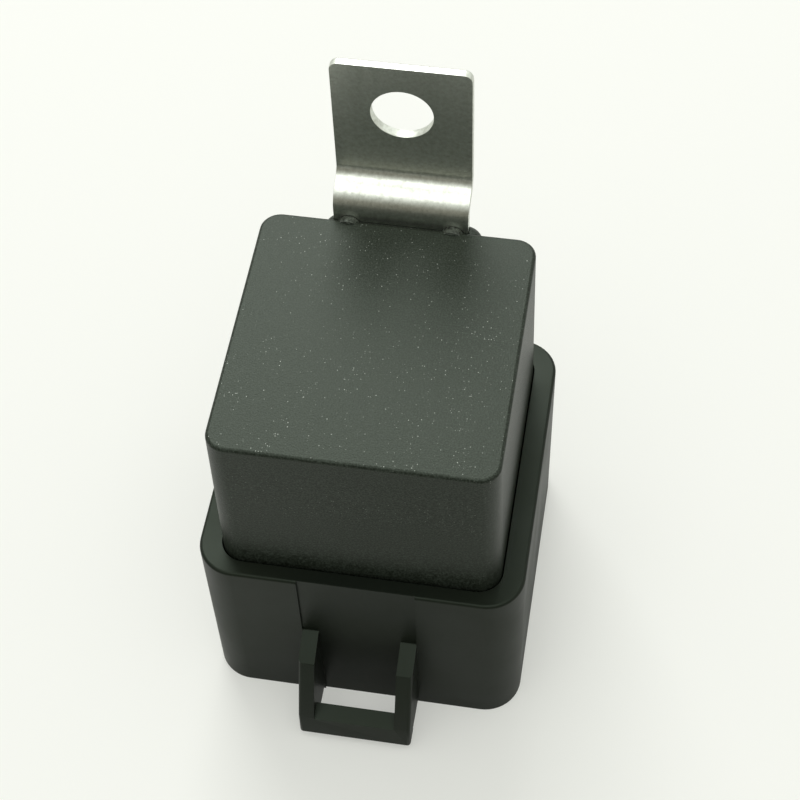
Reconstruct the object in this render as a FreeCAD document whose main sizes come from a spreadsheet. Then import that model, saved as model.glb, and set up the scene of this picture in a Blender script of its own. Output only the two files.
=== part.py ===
"""Automotive relay with a sealed cube case, a connector skirt and a steel mounting strip.

Millimetres. X is to the right, Y is away from the latch and Z is up. The origin is the middle of the
skirt's open mouth. The armature is drawn as it rests, tilted open on the yoke's edge.
"""

import FreeCAD, Part
import os
import re

import Sketcher

SIZES = (
    ("cover_width", 28.5, "cover across X at its top"),
    ("cover_depth", 29.6, "cover along Y at its top"),
    ("cover_height", 20.0, "cover above the ledge"),
    ("cover_draft", 0.8, "draft of the cover's walls, degrees"),
    ("cover_corner", 2.1, "cover corner radius at the top"),
    ("cover_wall", 1.0, "cover wall"),
    ("cover_roof", 1.4, "cover roof"),
    ("cover_edge", 0.25, "chamfer on the cover's top edge"),
    ("rim_drop", 5.3, "cover's rim below the ledge"),
    ("lug_reach", 0.5, "snap lug beyond the cover's wall"),
    ("lug_width", 6.0, "snap lug along Y"),
    ("lug_lead", 1.4, "height of the snap lug's sloping lead"),
    ("lug_flat", 0.4, "height of the snap lug's outer face"),
    ("lug_gap", 0.1, "snap lug below the ledge"),
    ("pocket_left", 0.94, "pocket's wall on the strip's left"),
    ("pocket_right", 1.54, "pocket's wall on the strip's right"),
    ("pocket_wall", 0.55, "pocket's wall behind the strip"),
    ("pocket_corner", 2.0, "strip pocket's outer corner radius"),
    ("pocket_drop", 0.5, "pocket rim below the cover's top"),
    ("pocket_edge", 0.8, "chamfer on the pocket's rim"),
    ("slot_gap", 0.06, "clearance round the strip in its pocket"),
    ("stop_gap", 0.3, "pocket floor below the strip's foot"),
    ("crush_rib", 1.2, "radius of the half-round crush ribs"),
    ("crush_place", 5.4, "crush ribs from the middle"),
    ("crush_sink", 0.4, "middle of a crush rib below the pocket's rim"),
    ("play_side", 0.77, "cover's rim to the skirt's wall along X"),
    ("play_front", 0.22, "cover's rim to the skirt's wall along Y"),
    ("skirt_height", 23.5, "skirt from mouth to ledge"),
    ("skirt_corner", 4.0, "skirt corner radius"),
    ("skirt_wall", 1.6, "skirt wall"),
    ("skirt_edge", 0.3, "chamfer on the ledge's outer edge"),
    ("ledge_thickness", 1.8, "ledge that closes the skirt"),
    ("ledge_gap", 0.1, "gap between ledge and cover"),
    ("ledge_lip", 0.25, "chamfer on the ledge's inner edge"),
    ("seat_reach", 1.7, "seat rib from the skirt's inner wall"),
    ("seat_width", 1.2, "seat rib along Y"),
    ("seat_place", 8.0, "seat ribs from the middle"),
    ("seat_foot", 6.0, "seat rib's lower end"),
    ("panel_step", 0.25, "depth of the panel above the latch"),
    ("latch_width", 12.3, "latch loop across X"),
    ("latch_arm", 1.75, "latch arm across X"),
    ("latch_rise", 13.2, "top of the latch arms at the wall"),
    ("latch_foot", 1.5, "bottom of the latch arms"),
    ("shoulder_reach", 3.0, "latch arm's shoulder from the wall"),
    ("shoulder_drop", 1.6, "latch arm's shoulder below its top"),
    ("bar_reach", 5.75, "latch bar's front from the wall"),
    ("bar_lean", 0.2, "lean of the latch bar's front"),
    ("bar_thickness", 2.0, "latch bar along Y"),
    ("bar_top", 4.3, "latch bar's top"),
    ("bar_foot", 1.1, "latch bar's underside"),
    ("latch_edge", 0.4, "round on the latch's outer edges"),
    ("strip_width", 14.0, "mounting strip across X"),
    ("strip_thickness", 1.0, "mounting strip's sheet"),
    ("strip_gap", 0.35, "strip behind the cover's rear wall"),
    ("strip_insert", 15.5, "strip inside its pocket"),
    ("strip_rise", 18.9, "strip's end above the cover"),
    ("strip_corner", 0.9, "strip's corner radius"),
    ("bend_start", 0.9, "first bend above the cover"),
    ("bend_radius", 1.5, "inside radius of the strip's bends"),
    ("joggle", 3.0, "offset of the strip's upper plate"),
    ("bolt_hole", 6.3, "diameter of the bolt hole"),
    ("bolt_place", 6.2, "bolt hole below the strip's end"),
    ("resin_recess", 0.1, "resin above the cover's rim"),
    ("resin_thickness", 1.1, "sealing resin"),
    ("resin_gap", 0.02, "resin's play, to keep faces apart"),
    ("base_thickness", 1.8, "terminal base plate"),
    ("base_gap", 0.15, "base plate to the cover's wall"),
    ("base_corner", 1.2, "base plate's corner radius"),
    ("rail_height", 1.4, "rails that carry the yoke"),
    ("rail_width", 2.2, "rail across X"),
    ("rail_inset", 0.1, "rail inside the yoke's edge"),
    ("blade_width", 6.3, "terminal blade"),
    ("blade_thickness", 0.8, "terminal sheet"),
    ("blade_length", 11.4, "blade below the cover's rim"),
    ("blade_point", 1.0, "chamfer on a blade's point"),
    ("blade_hole", 1.8, "locking hole in a blade"),
    ("blade_hole_place", 4.2, "locking hole above the point"),
    ("blade_gap", 0.05, "clearance round a blade in the base"),
    ("pitch_side", 8.4, "coil blades from the middle"),
    ("pitch_front", 8.4, "open contact's blade from the middle"),
    ("pitch_rear", 8.4, "common blade from the middle"),
    ("neck_rise", 0.8, "depth of a neck's root in the base"),
    ("strap_gap", 1.0, "gap between the two contact straps"),
    ("strap_width", 6.0, "contact strap across X"),
    ("strap_foot", 3.1, "foot of the closed contact's strap across X"),
    ("strap_clear", 1.1, "straps' risers to the cover's front wall"),
    ("tab_reach", 2.7, "contact behind the middle of its strap's riser"),
    ("strap_bend", 0.4, "inside radius of the straps' bends"),
    ("tab_end", 1.7, "contact tab beyond its contact"),
    ("tab_side", 1.8, "contact tab beside its contact"),
    ("common_foot", 7.0, "common terminal's foot across X"),
    ("common_foot_depth", 5.5, "common terminal's foot along Y"),
    ("post_width", 1.6, "coil post along Y"),
    ("wire_end", 2.2, "resistor's lead along Y to its coil post"),
    ("post_height", 5.6, "coil post above the base"),
    ("arm_height", 1.6, "coil terminal's arm"),
    ("yoke_clear", 2.3, "yoke's back to the cover's rear wall"),
    ("yoke_side_gap", 0.5, "yoke to the coil terminals"),
    ("yoke_thickness", 1.6, "yoke's sheet"),
    ("yoke_inset", 0.5, "yoke's leg behind the bobbin's front"),
    ("yoke_bend", 1.0, "inside radius of the yoke's bend"),
    ("head_clear", 0.64, "upper contact's tail below the cover's roof"),
    ("bobbin_side_gap", 0.3, "bobbin flange to the coil terminals"),
    ("resistor_room", 5.8, "bobbin to the middle of the straps' risers"),
    ("bobbin_corner", 2.5, "bobbin flange's corner radius"),
    ("flange_thickness", 1.0, "bobbin flange"),
    ("tube_wall", 1.0, "bobbin's tube wall"),
    ("core_radius", 3.0, "pole core's shank"),
    ("core_gap", 0.1, "core to the bobbin"),
    ("stake_gap", 0.05, "core to the yoke's hole"),
    ("pole_radius", 5.0, "pole face"),
    ("pole_thickness", 0.8, "pole head"),
    ("winding_inset", 0.3, "winding inside the bobbin's flange"),
    ("winding_gap", 0.05, "winding to the bobbin"),
    ("lead_radius", 0.2, "coil lead"),
    ("lead_lift", 0.8, "coil lead above the lower flange"),
    ("pole_gap", 0.1, "closed armature above the pole face"),
    ("edge_gap", 0.05, "pivot above the yoke's edge"),
    ("rest_angle", 2.5, "armature's tilt at rest, degrees"),
    ("armature_stop", 4.1, "armature's front edge behind the moving contact"),
    ("armature_thickness", 1.4, "armature plate"),
    ("armature_corner", 2.0, "armature's front corner radius"),
    ("armature_setback", 0.3, "armature's rear end from the pivot"),
    ("armature_chamfer", 1.0, "chamfer on the armature's rear edge"),
    ("spring_thickness", 0.3, "contact spring's leaf"),
    ("spring_width", 9.0, "contact spring's broad part"),
    ("spring_tongue", 5.2, "contact spring's tongue"),
    ("spring_tip", 1.9, "contact spring beyond the moving contact"),
    ("rivet_edge", 2.0, "contact spring below its yoke rivets"),
    ("spring_bend", 1.0, "inside radius of the spring's bend"),
    ("contact_radius", 1.6, "contact head"),
    ("contact_shank", 0.8, "contact shank"),
    ("contact_head", 0.6, "fixed contact's head"),
    ("contact_tail", 0.3, "fixed contact's riveted tail"),
    ("moving_head", 0.7, "moving contact's lower head"),
    ("moving_cap", 0.6, "moving contact's upper head"),
    ("contact_crown", 0.2, "slope of the moving contact's crown"),
    ("contact_land", 0.8, "radius of the crown's flat land"),
    ("contact_gap", 0.04, "play left between meeting contacts"),
    ("rivet_radius", 0.75, "rivet shank"),
    ("rivet_head", 1.3, "rivet head's radius"),
    ("rivet_cap", 0.5, "rivet head's height"),
    ("rivet_gap", 0.05, "clearance round a rivet"),
    ("rivet_pitch", 5.0, "between two rivets"),
    ("yoke_rivet_drop", 9.5, "yoke rivets below the pivot"),
    ("armature_rivet", 9.0, "armature rivets in front of the pivot"),
    ("resistor_radius", 1.25, "damping resistor's body"),
    ("resistor_length", 6.5, "damping resistor's body"),
    ("resistor_lift", 3.3, "resistor above the base"),
    ("wire_radius", 0.3, "resistor's lead"),
)

doc = FreeCAD.newDocument("relay")
sheet = doc.addObject("Spreadsheet::Sheet", "Sizes")
for row, (alias, size, note) in enumerate(SIZES, 1):
    sheet.set(f"A{row}", note)
    sheet.set(f"B{row}", str(size))
    sheet.setAlias(f"B{row}", alias)
doc.recompute()
ALIASES = {alias for alias, size, note in SIZES}
NODES = []


# Levels and places that several pieces share, as formulas over the sheet's sizes

slope = "tan(cover_draft)"
case_top = "(skirt_height + cover_height)"
ledge_under = "(skirt_height - ledge_thickness)"
cover_rim = f"({ledge_under} - rim_drop)"
rim_spread = f"(({case_top} - {cover_rim}) * {slope})"
skirt_side = f"(cover_width / 2 + {rim_spread} + play_side + skirt_wall)"
skirt_front = f"(cover_depth / 2 + {rim_spread} + play_front + skirt_wall)"
pocket_rim = f"({case_top} - pocket_drop)"
strip_front = "(cover_depth / 2 + strip_gap)"
strip_foot = f"({pocket_rim} - strip_insert)"
resin_under = f"({cover_rim} + resin_recess)"
resin_top = f"({resin_under} + resin_thickness)"
base_top = f"({resin_top} + base_thickness)"
blade_tip = f"({cover_rim} - blade_length)"
strap_top = f"({base_top} + blade_thickness)"
yoke_under = f"({base_top} + rail_height)"
yoke_seat = f"({yoke_under} + yoke_thickness)"
inner_wall = "(cover_depth / 2 - cover_wall)"
strap_place = f"({inner_wall} - strap_clear - blade_thickness / 2)"
contact_place = f"(tab_reach - {strap_place})"
yoke_back = f"({inner_wall} - yoke_clear)"
yoke_inner = f"({yoke_back} - yoke_thickness)"
yoke_side = "(pitch_side - blade_thickness / 2 - yoke_side_gap)"
bobbin_front = f"(resistor_room - {strap_place})"
bobbin_rear = f"({yoke_inner} - yoke_bend)"
bobbin_half = f"(({bobbin_rear} - {bobbin_front}) / 2)"
coil_place = f"(({bobbin_rear} + {bobbin_front}) / 2)"
yoke_front = f"({bobbin_front} + yoke_inset)"
bobbin_side = "(pitch_side - blade_thickness / 2 - bobbin_side_gap)"
winding_radius = f"(min({bobbin_half}; {bobbin_side}) - winding_inset)"
resistor_place = f"(({strap_place} - blade_thickness / 2 - {bobbin_front}) / 2)"
post_place = f"({resistor_place} - wire_end)"
contact_lever = f"({yoke_back} - {contact_place})"
armature_length = f"({contact_lever} - armature_stop)"
spring_length = f"({contact_lever} + spring_tip)"
moving_low = "(armature_thickness - moving_head)"
moving_high = "(armature_thickness + spring_thickness + moving_cap)"
closed_lift = f"({contact_lever} * sin(rest_angle) + {moving_high} * cos(rest_angle) + contact_gap)"
closed_stack = "(contact_head + blade_thickness + contact_tail + head_clear)"
pivot_height = f"({case_top} - cover_roof - {closed_stack} - {closed_lift})"
pole_face = f"({pivot_height} - pole_gap)"
bobbin_top = f"({pole_face} - pole_thickness)"
bobbin_height = f"({bobbin_top} - {yoke_seat})"
open_touch = f"({pivot_height} + {moving_low} - contact_gap)"
closed_touch = f"({pivot_height} + {closed_lift})"
open_tab = f"({open_touch} - contact_head)"
closed_tab = f"({closed_touch} + contact_head)"


def value(formula):
    """The number a formula over the sheet's sizes gives now."""
    result = sheet.evalExpression(formula)
    return float(getattr(result, "Value", result))


def bind(item, prop, formula):
    """Tie a property to a formula over the sheet's sizes."""
    def lead(word):
        return f"Sizes.{word[0]}" if word[0] in ALIASES else word[0]

    item.setExpression(prop, re.sub(r"[a-z_]+", lead, formula))


def half_at(size, level):
    """Half of the cover's width or depth at a level, with its draft."""
    return f"({size} / 2 + ({case_top} - {level}) * {slope})"


# Document helpers

def new_body(name):
    body = doc.addObject("PartDesign::Body", name)
    body.Label = name
    NODES.append(body)
    return body


def new_sketch(body, name, role, level="0"):
    """A sketch on one of the body's own origin planes, moved along its normal to a level."""
    plane = next(item for item in body.Origin.OriginFeatures if item.Role == role)
    sketch = body.newObject("Sketcher::SketchObject", name)
    sketch.AttachmentSupport = [(plane, "")]
    sketch.MapMode = "FlatFace"
    bind(sketch, "AttachmentOffset.Base.z", level)
    return sketch


def hold(sketch, kind, *args):
    """Add a dimension whose last argument is a formula."""
    index = sketch.addConstraint(Sketcher.Constraint(kind, *args[:-1], value(args[-1])))
    bind(sketch, f"Constraints[{index}]", args[-1])


def arc_between(start, end, radius):
    """The short arc between two points, which turns left when its radius is positive."""
    chord = end - start
    left = FreeCAD.Vector(-chord.y, chord.x, 0).normalize()
    rise = max(radius * radius - chord.Length ** 2 / 4, 0) ** 0.5
    centre = (start + end) / 2 + left * (rise if radius > 0 else -rise)
    circle = Part.Circle(centre, FreeCAD.Vector(0, 0, 1), abs(radius))
    first, last = (start, end) if radius > 0 else (end, start)
    return Part.ArcOfCircle(circle, circle.parameter(first), circle.parameter(last))


def outline(sketch, corners):
    """Close a loop through corners, each (x, y) or, where an arc leads to it, (x, y, turn, radius)."""
    points = [FreeCAD.Vector(value(corner[0]), value(corner[1]), 0) for corner in corners]
    first = sketch.GeometryCount
    ends = []
    for index, corner in enumerate(corners):
        start, end = points[index - 1], points[index]
        if len(corner) == 2:
            sketch.addGeometry(Part.LineSegment(start, end), False)
            ends.append((1, 2))
        else:
            turn, radius = corner[2], corner[3]
            sign = 1 if turn == "left" else -1
            sketch.addGeometry(arc_between(start, end, sign * value(radius)), False)
            ends.append((1, 2) if sign == 1 else (2, 1))
    count = len(corners)
    for index, corner in enumerate(corners):
        this, after = first + index, first + (index + 1) % count
        finish = ends[index][1]
        begin = ends[(index + 1) % count][0]
        sketch.addConstraint(Sketcher.Constraint("Coincident", this, finish, after, begin))
        hold(sketch, "DistanceX", -1, 1, this, finish, corner[0])
        hold(sketch, "DistanceY", -1, 1, this, finish, corner[1])
        if len(corner) == 4:
            hold(sketch, "Radius", this, corner[3])


def rectangle(sketch, left, right, low, high):
    outline(sketch, [(left, low), (right, low), (right, high), (left, high)])


def rounded(sketch, half_x, half_y, radius, middle="0"):
    """A rectangle with four round corners, its middle moved along the sketch's second axis."""
    left, right = f"(-{half_x})", half_x
    low, high = f"({middle} - {half_y})", f"({middle} + {half_y})"
    outline(sketch, [
        (f"{left} + {radius}", low),
        (f"{right} - {radius}", low),
        (right, f"{low} + {radius}", "left", radius),
        (right, f"{high} - {radius}"),
        (f"{right} - {radius}", high, "left", radius),
        (f"{left} + {radius}", high),
        (left, f"{high} - {radius}", "left", radius),
        (left, f"{low} + {radius}"),
        (f"{left} + {radius}", low, "left", radius),
    ][1:])


def circle(sketch, across, along, radius):
    centre = FreeCAD.Vector(value(across), value(along), 0)
    index = sketch.addGeometry(Part.Circle(centre, FreeCAD.Vector(0, 0, 1), value(radius)), False)
    hold(sketch, "DistanceX", -1, 1, index, 3, across)
    hold(sketch, "DistanceY", -1, 1, index, 3, along)
    hold(sketch, "Radius", index, radius)


def extrude(kind, body, sketch, length, both_sides=False, reverse=False, taper=None):
    feature = body.newObject(f"PartDesign::{kind}", f"{sketch.Name}_{kind.lower()}")
    feature.Profile = sketch
    if both_sides:
        feature.SideType = "Symmetric"
    feature.Reversed = reverse
    bind(feature, "Length", length)
    if taper:
        bind(feature, "TaperAngle", taper)
    doc.recompute()
    return feature


def pad(body, sketch, length, **options):
    return extrude("Pad", body, sketch, length, **options)


def pocket(body, sketch, length, **options):
    """A cut, which has to take something away."""
    before = body.Shape.Volume
    feature = extrude("Pocket", body, sketch, length, **options)
    if body.Shape.Volume > before - 1e-6:
        raise RuntimeError(f"{feature.Label} cuts nothing")
    return feature


def mirror(body, feature, role):
    plane = next(item for item in body.Origin.OriginFeatures if item.Role == role)
    mirrored = body.newObject("PartDesign::Mirrored", f"{feature.Name}_mirrored")
    mirrored.Originals = [feature]
    mirrored.MirrorPlane = (plane, [""])
    body.Tip = mirrored
    doc.recompute()
    return mirrored


def dress_edges(kind, body, name, wanted, prop, size):
    """Round or chamfer the edges of the body's last feature whose middle passes a test."""
    base = body.Tip
    names = []
    for index, edge in enumerate(base.Shape.Edges, 1):
        middle = edge.valueAt((edge.FirstParameter + edge.LastParameter) / 2)
        if wanted(edge, middle):
            names.append(f"Edge{index}")
    feature = body.newObject(f"PartDesign::{kind}", name)
    feature.Base = (base, names)
    bind(feature, prop, size)
    doc.recompute()
    return feature


def round_edges(body, name, wanted, radius):
    return dress_edges("Fillet", body, name, wanted, "Radius", radius)


def chamfer_edges(body, name, wanted, size):
    """Chamfer the edges of the body's last feature that pass a test."""
    return dress_edges("Chamfer", body, name, wanted, "Size", size)


def near(first, second, slack=0.01):
    return abs(first - second) < slack


def level_edges(level):
    """A test for edges that lie level at a height."""
    height = value(level)

    def wanted(edge, middle):
        return all(near(vertex.Z, height) for vertex in edge.Vertexes) and near(middle.z, height)

    return wanted


# Cover with its strip pocket

def build_cover():
    body = new_body("cover")
    half_x = f"(cover_width / 2 + {rim_spread})"
    half_y = f"(cover_depth / 2 + {rim_spread})"
    shell = new_sketch(body, "cover_shell", "XY_Plane", cover_rim)
    rounded(shell, half_x, half_y, f"(cover_corner + {rim_spread})")
    pad(body, shell, f"{case_top} - {cover_rim}", taper="-cover_draft")
    chamfer_edges(body, "cover_top_edge", level_edges(case_top), "cover_edge")

    bulge = new_sketch(body, "cover_pocket", "XY_Plane", "skirt_height")
    left = "(-strip_width / 2 - slot_gap - pocket_left)"
    right = "(strip_width / 2 + slot_gap + pocket_right)"
    inner = "(cover_depth / 2 - cover_wall / 2)"
    outer = f"({strip_front} + strip_thickness + slot_gap + pocket_wall)"
    outline(bulge, [
        (left, inner),
        (right, inner),
        (right, f"{outer} - pocket_corner"),
        (f"{right} - pocket_corner", outer, "left", "pocket_corner"),
        (f"{left} + pocket_corner", outer),
        (left, f"{outer} - pocket_corner", "left", "pocket_corner"),
    ])
    pad(body, bulge, f"{pocket_rim} - skirt_height")
    behind = value("cover_depth / 2 + cover_edge")
    at_rim = level_edges(pocket_rim)
    chamfer_edges(body, "cover_pocket_edge",
                  lambda edge, middle: at_rim(edge, middle) and middle.y > behind, "pocket_edge")

    ribs = new_sketch(body, "cover_crush_ribs", "XZ_Plane", f"0 - {strip_front}")
    middle = f"({pocket_rim} - crush_sink)"
    for side in ("-crush_place", "crush_place"):
        outline(ribs, [
            (f"{side} + crush_rib", middle),
            (f"{side} + crush_rib * 0.001", f"{middle} + crush_rib", "left", "crush_rib"),
            (f"{side} - crush_rib", middle, "left", "crush_rib"),
            (f"{side} - crush_rib", f"{middle} - pocket_drop"),
            (f"{side} + crush_rib", f"{middle} - pocket_drop"),
        ])
    pad(body, ribs, "strip_gap + cover_wall / 2")

    slot = new_sketch(body, "cover_slot", "XY_Plane", f"{pocket_rim} + 2 * crush_rib")
    slot_half = "(strip_width / 2 + slot_gap)"
    rectangle(slot, f"(-{slot_half})", slot_half,
              f"{strip_front} - slot_gap", f"{strip_front} + strip_thickness + slot_gap")
    pocket(body, slot, "strip_insert + stop_gap + 2 * crush_rib")

    hollow = new_sketch(body, "cover_hollow", "XY_Plane", cover_rim)
    rounded(hollow, "(cover_width / 2 - cover_wall)", inner_wall, "(cover_corner - cover_wall)")
    pocket(body, hollow, f"{case_top} - cover_roof - {cover_rim}", reverse=True)

    lug = new_sketch(body, "cover_lug", "XZ_Plane")
    lug_top = f"({ledge_under} - lug_gap)"
    wall = f"({half_at('cover_width', lug_top)} - cover_wall / 2)"
    face = f"({half_at('cover_width', lug_top)} + lug_reach)"
    outline(lug, [
        (wall, f"{lug_top} - lug_flat - lug_lead"),
        (face, f"{lug_top} - lug_flat"),
        (face, lug_top),
        (wall, lug_top),
    ])
    mirror(body, pad(body, lug, "lug_width", both_sides=True), "YZ_Plane")


# Skirt with its ledge, latch loop and seat ribs

def build_skirt():
    body = new_body("skirt")
    shell = new_sketch(body, "skirt_shell", "XY_Plane")
    rounded(shell, skirt_side, skirt_front, "skirt_corner")
    pad(body, shell, "skirt_height")
    chamfer_edges(body, "skirt_ledge_edge", level_edges("skirt_height"), "skirt_edge")

    hollow = new_sketch(body, "skirt_hollow", "XY_Plane")
    rounded(hollow, f"({skirt_side} - skirt_wall)", f"({skirt_front} - skirt_wall)",
            "(skirt_corner - skirt_wall)")
    pocket(body, hollow, ledge_under, reverse=True)

    opening = new_sketch(body, "skirt_opening", "XY_Plane", "skirt_height")
    half_x = f"({half_at('cover_width', 'skirt_height')} + ledge_gap)"
    half_y = f"({half_at('cover_depth', 'skirt_height')} + ledge_gap)"
    rounded(opening, half_x, half_y, f"(cover_corner + cover_height * {slope} + ledge_gap)")
    pocket(body, opening, "ledge_thickness * 2")
    at_ledge = level_edges("skirt_height")
    reach_x, reach_y = value(f"{half_x} + ledge_lip / 2"), value(f"{half_y} + ledge_lip / 2")

    def inner_edge(edge, middle):
        return at_ledge(edge, middle) and abs(middle.x) < reach_x and abs(middle.y) < reach_y

    chamfer_edges(body, "skirt_lip", inner_edge, "ledge_lip")

    seats = new_sketch(body, "skirt_seats", "XY_Plane", "seat_foot")
    wall = f"({skirt_side} - skirt_wall)"
    for sign in ("-", ""):
        for place in ("-seat_place", "seat_place"):
            reach = (f"{wall} - seat_reach", f"{wall} + skirt_wall / 2")
            near_x, far_x = reach if sign == "" else (f"-({reach[1]})", f"-({reach[0]})")
            rectangle(seats, near_x, far_x, f"{place} - seat_width / 2", f"{place} + seat_width / 2")
    pad(body, seats, f"{cover_rim} - seat_foot")

    front = f"(-{skirt_front})"
    root = f"({front} + skirt_wall / 2)"
    loop = new_sketch(body, "skirt_latch", "YZ_Plane")
    outline(loop, [
        (root, "latch_foot"),
        (root, "latch_rise"),
        (front, "latch_rise"),
        (f"{front} - shoulder_reach", "latch_rise - shoulder_drop"),
        (f"{front} - bar_reach", "bar_top"),
        (f"{front} - bar_reach - bar_lean", "bar_foot"),
        (f"{front} - bar_reach - bar_lean + bar_thickness", "bar_foot"),
        (f"{front} - bar_reach - bar_lean + bar_thickness", "latch_foot"),
    ])
    pad(body, loop, "latch_width", both_sides=True)
    outside = value("latch_width / 2")

    def latch_side(edge, middle):
        ahead = middle.y < value(f"{front} - shoulder_reach") and middle.z > value("latch_foot + latch_edge")
        return ahead and near(abs(middle.x), outside)

    round_edges(body, "skirt_latch_edge", latch_side, "latch_edge")
    window = new_sketch(body, "skirt_window", "YZ_Plane")
    ahead = f"({front} - bar_reach - bar_lean - skirt_wall)"
    behind = f"({front} - bar_reach - bar_lean + bar_thickness)"
    outline(window, [
        (front, "0"),
        (front, "latch_rise + skirt_wall"),
        (ahead, "latch_rise + skirt_wall"),
        (ahead, "bar_top"),
        (behind, "bar_top"),
        (behind, "0"),
    ])
    pocket(body, window, "latch_width - 2 * latch_arm", both_sides=True)

    panel = new_sketch(body, "skirt_panel", "XZ_Plane", skirt_front)
    wide, narrow = "latch_width / 2", "(latch_width / 2 - latch_arm)"
    outline(panel, [
        (f"-{narrow}", "latch_foot"),
        (narrow, "latch_foot"),
        (narrow, "latch_rise"),
        (wide, "latch_rise"),
        (wide, "skirt_height + skirt_wall"),
        (f"-{wide}", "skirt_height + skirt_wall"),
        (f"-{wide}", "latch_rise"),
        (f"-{narrow}", "latch_rise"),
    ])
    pocket(body, panel, "panel_step")


# Steel mounting strip

def build_strip():
    body = new_body("mounting_bracket")
    inside, outside = "bend_radius", "(bend_radius + strip_thickness)"
    lean = f"(acos(1 - joggle / ({inside} + {outside})))"
    across, up = f"cos({lean})", f"sin({lean})"
    start = f"({case_top} + bend_start)"
    centre = f"({strip_front} + {outside})"
    upper = f"({start} + ({inside} + {outside}) * {up})"
    top = f"({case_top} + strip_rise)"
    plate = f"({strip_front} + joggle)"
    side = new_sketch(body, "strip_side", "YZ_Plane")
    outline(side, [
        (strip_front, strip_foot),
        (f"{strip_front} + strip_thickness", strip_foot),
        (f"{strip_front} + strip_thickness", start),
        (f"{centre} - {inside} * {across}", f"{start} + {inside} * {up}", "right", inside),
        (f"{plate} + strip_thickness", upper, "left", outside),
        (f"{plate} + strip_thickness", top),
        (plate, top),
        (plate, upper),
        (f"{centre} - {outside} * {across}", f"{start} + {outside} * {up}", "right", inside),
        (strip_front, start, "left", outside),
    ])
    pad(body, side, "strip_width", both_sides=True)
    hole = new_sketch(body, "strip_hole", "XZ_Plane", f"-{plate} + strip_thickness")
    circle(hole, "0", f"{top} - bolt_place", "bolt_hole / 2")
    pocket(body, hole, "3 * strip_thickness")
    corners = (value(strip_foot), value(top))

    def corner(edge, middle):
        across_sheet = near(edge.Length, value("strip_thickness"))
        return across_sheet and any(near(middle.z, height) for height in corners)

    round_edges(body, "strip_corners", corner, "strip_corner")


# Base plate and resin that close the cover

TERMINAL_SLOTS = (
    ("0", "0", "across"),
    ("0", "-pitch_front", "across"),
    ("0", "pitch_rear", "along"),
    ("-pitch_side", "0", "along"),
    ("pitch_side", "0", "along"),
)


def cut_slots(body, name, level, depth, gap):
    """Cut the five blades' slots downwards through a plate."""
    slots = new_sketch(body, name, "XY_Plane", level)
    wide, thin = f"(blade_width / 2 + {gap})", f"(blade_thickness / 2 + {gap})"
    for across, along, lie in TERMINAL_SLOTS:
        half_x, half_y = (wide, thin) if lie == "across" else (thin, wide)
        rectangle(slots, f"{across} - {half_x}", f"{across} + {half_x}",
                  f"{along} - {half_y}", f"{along} + {half_y}")
    pocket(body, slots, depth)


def build_base():
    body = new_body("terminal_base")
    plate = new_sketch(body, "base_plate", "XY_Plane", resin_top)
    rounded(plate, "(cover_width / 2 - cover_wall - base_gap)", f"({inner_wall} - base_gap)", "base_corner")
    pad(body, plate, "base_thickness")
    rails = new_sketch(body, "base_rails", "XY_Plane", base_top)
    outer = f"({yoke_side} - rail_inset)"
    for left, right in ((f"-{outer}", f"-{outer} + rail_width"), (f"{outer} - rail_width", outer)):
        rectangle(rails, left, right, f"{yoke_front} + blade_thickness", yoke_back)
    pad(body, rails, "rail_height")
    cut_slots(body, "base_slots", base_top, "2 * base_thickness", "blade_gap")


def build_resin():
    body = new_body("sealing_resin")
    layer = new_sketch(body, "resin_layer", "XY_Plane", resin_under)
    rounded(layer, "(cover_width / 2 - cover_wall - resin_gap)", f"({inner_wall} - resin_gap)",
            "(cover_corner - cover_wall)")
    pad(body, layer, "resin_thickness")
    cut_slots(body, "resin_slots", resin_top, "2 * resin_thickness", "resin_gap")


# Terminals, each one stamping

def add_blade(body, role, level, middle, top, neck=None):
    """A pointed blade with its locking hole, and a neck from one of its sides up to the straps."""
    left, right = f"({middle} - blade_width / 2)", f"({middle} + blade_width / 2)"
    corners = [
        (f"{left} + blade_point", blade_tip),
        (f"{right} - blade_point", blade_tip),
        (right, f"{blade_tip} + blade_point"),
    ]
    if neck == "left":
        inner = "(-strap_gap / 2)"
        corners += [(right, top), (inner, top), (inner, strap_top), (left, strap_top)]
    elif neck == "right":
        inner = "(strap_gap / 2)"
        corners += [(right, strap_top), (inner, strap_top), (inner, top), (left, top)]
    else:
        corners += [(right, top), (left, top)]
    corners.append((left, f"{blade_tip} + blade_point"))
    face = new_sketch(body, f"{body.Name}_blade", role, level)
    outline(face, corners)
    pad(body, face, "blade_thickness", both_sides=True)
    hole = new_sketch(body, f"{body.Name}_hole", role, level)
    circle(hole, middle, f"{blade_tip} + blade_hole_place", "blade_hole / 2")
    pocket(body, hole, "2 * blade_thickness", both_sides=True)


def add_strap(body, side, start, tab_top, tab_under):
    """The folded strap of a contact terminal: foot, riser and tab, on one side of the middle."""
    thin = "blade_thickness"
    inside, outside = "strap_bend", f"(strap_bend + {thin})"
    back, fore = f"({thin} / 2 - {strap_place})", f"(-{strap_place} - {thin} / 2)"
    tab_end = f"({contact_place} + tab_end)"
    fold = new_sketch(body, f"{body.Name}_fold", "YZ_Plane", f"{side} (strap_gap + strap_width) / 2")
    outline(fold, [
        (start, base_top),
        (start, strap_top),
        (f"{back} + {inside}", strap_top),
        (back, f"{strap_top} + {inside}", "right", inside),
        (back, f"{tab_under} - {inside}"),
        (f"{back} + {inside}", tab_under, "right", inside),
        (tab_end, tab_under),
        (tab_end, tab_top),
        (f"{fore} + {outside}", tab_top),
        (fore, f"{tab_top} - {outside}", "left", outside),
        (fore, f"{base_top} + {outside}"),
        (f"{fore} + {outside}", base_top, "left", outside),
    ])
    pad(body, fold, "strap_width", both_sides=True)


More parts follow.
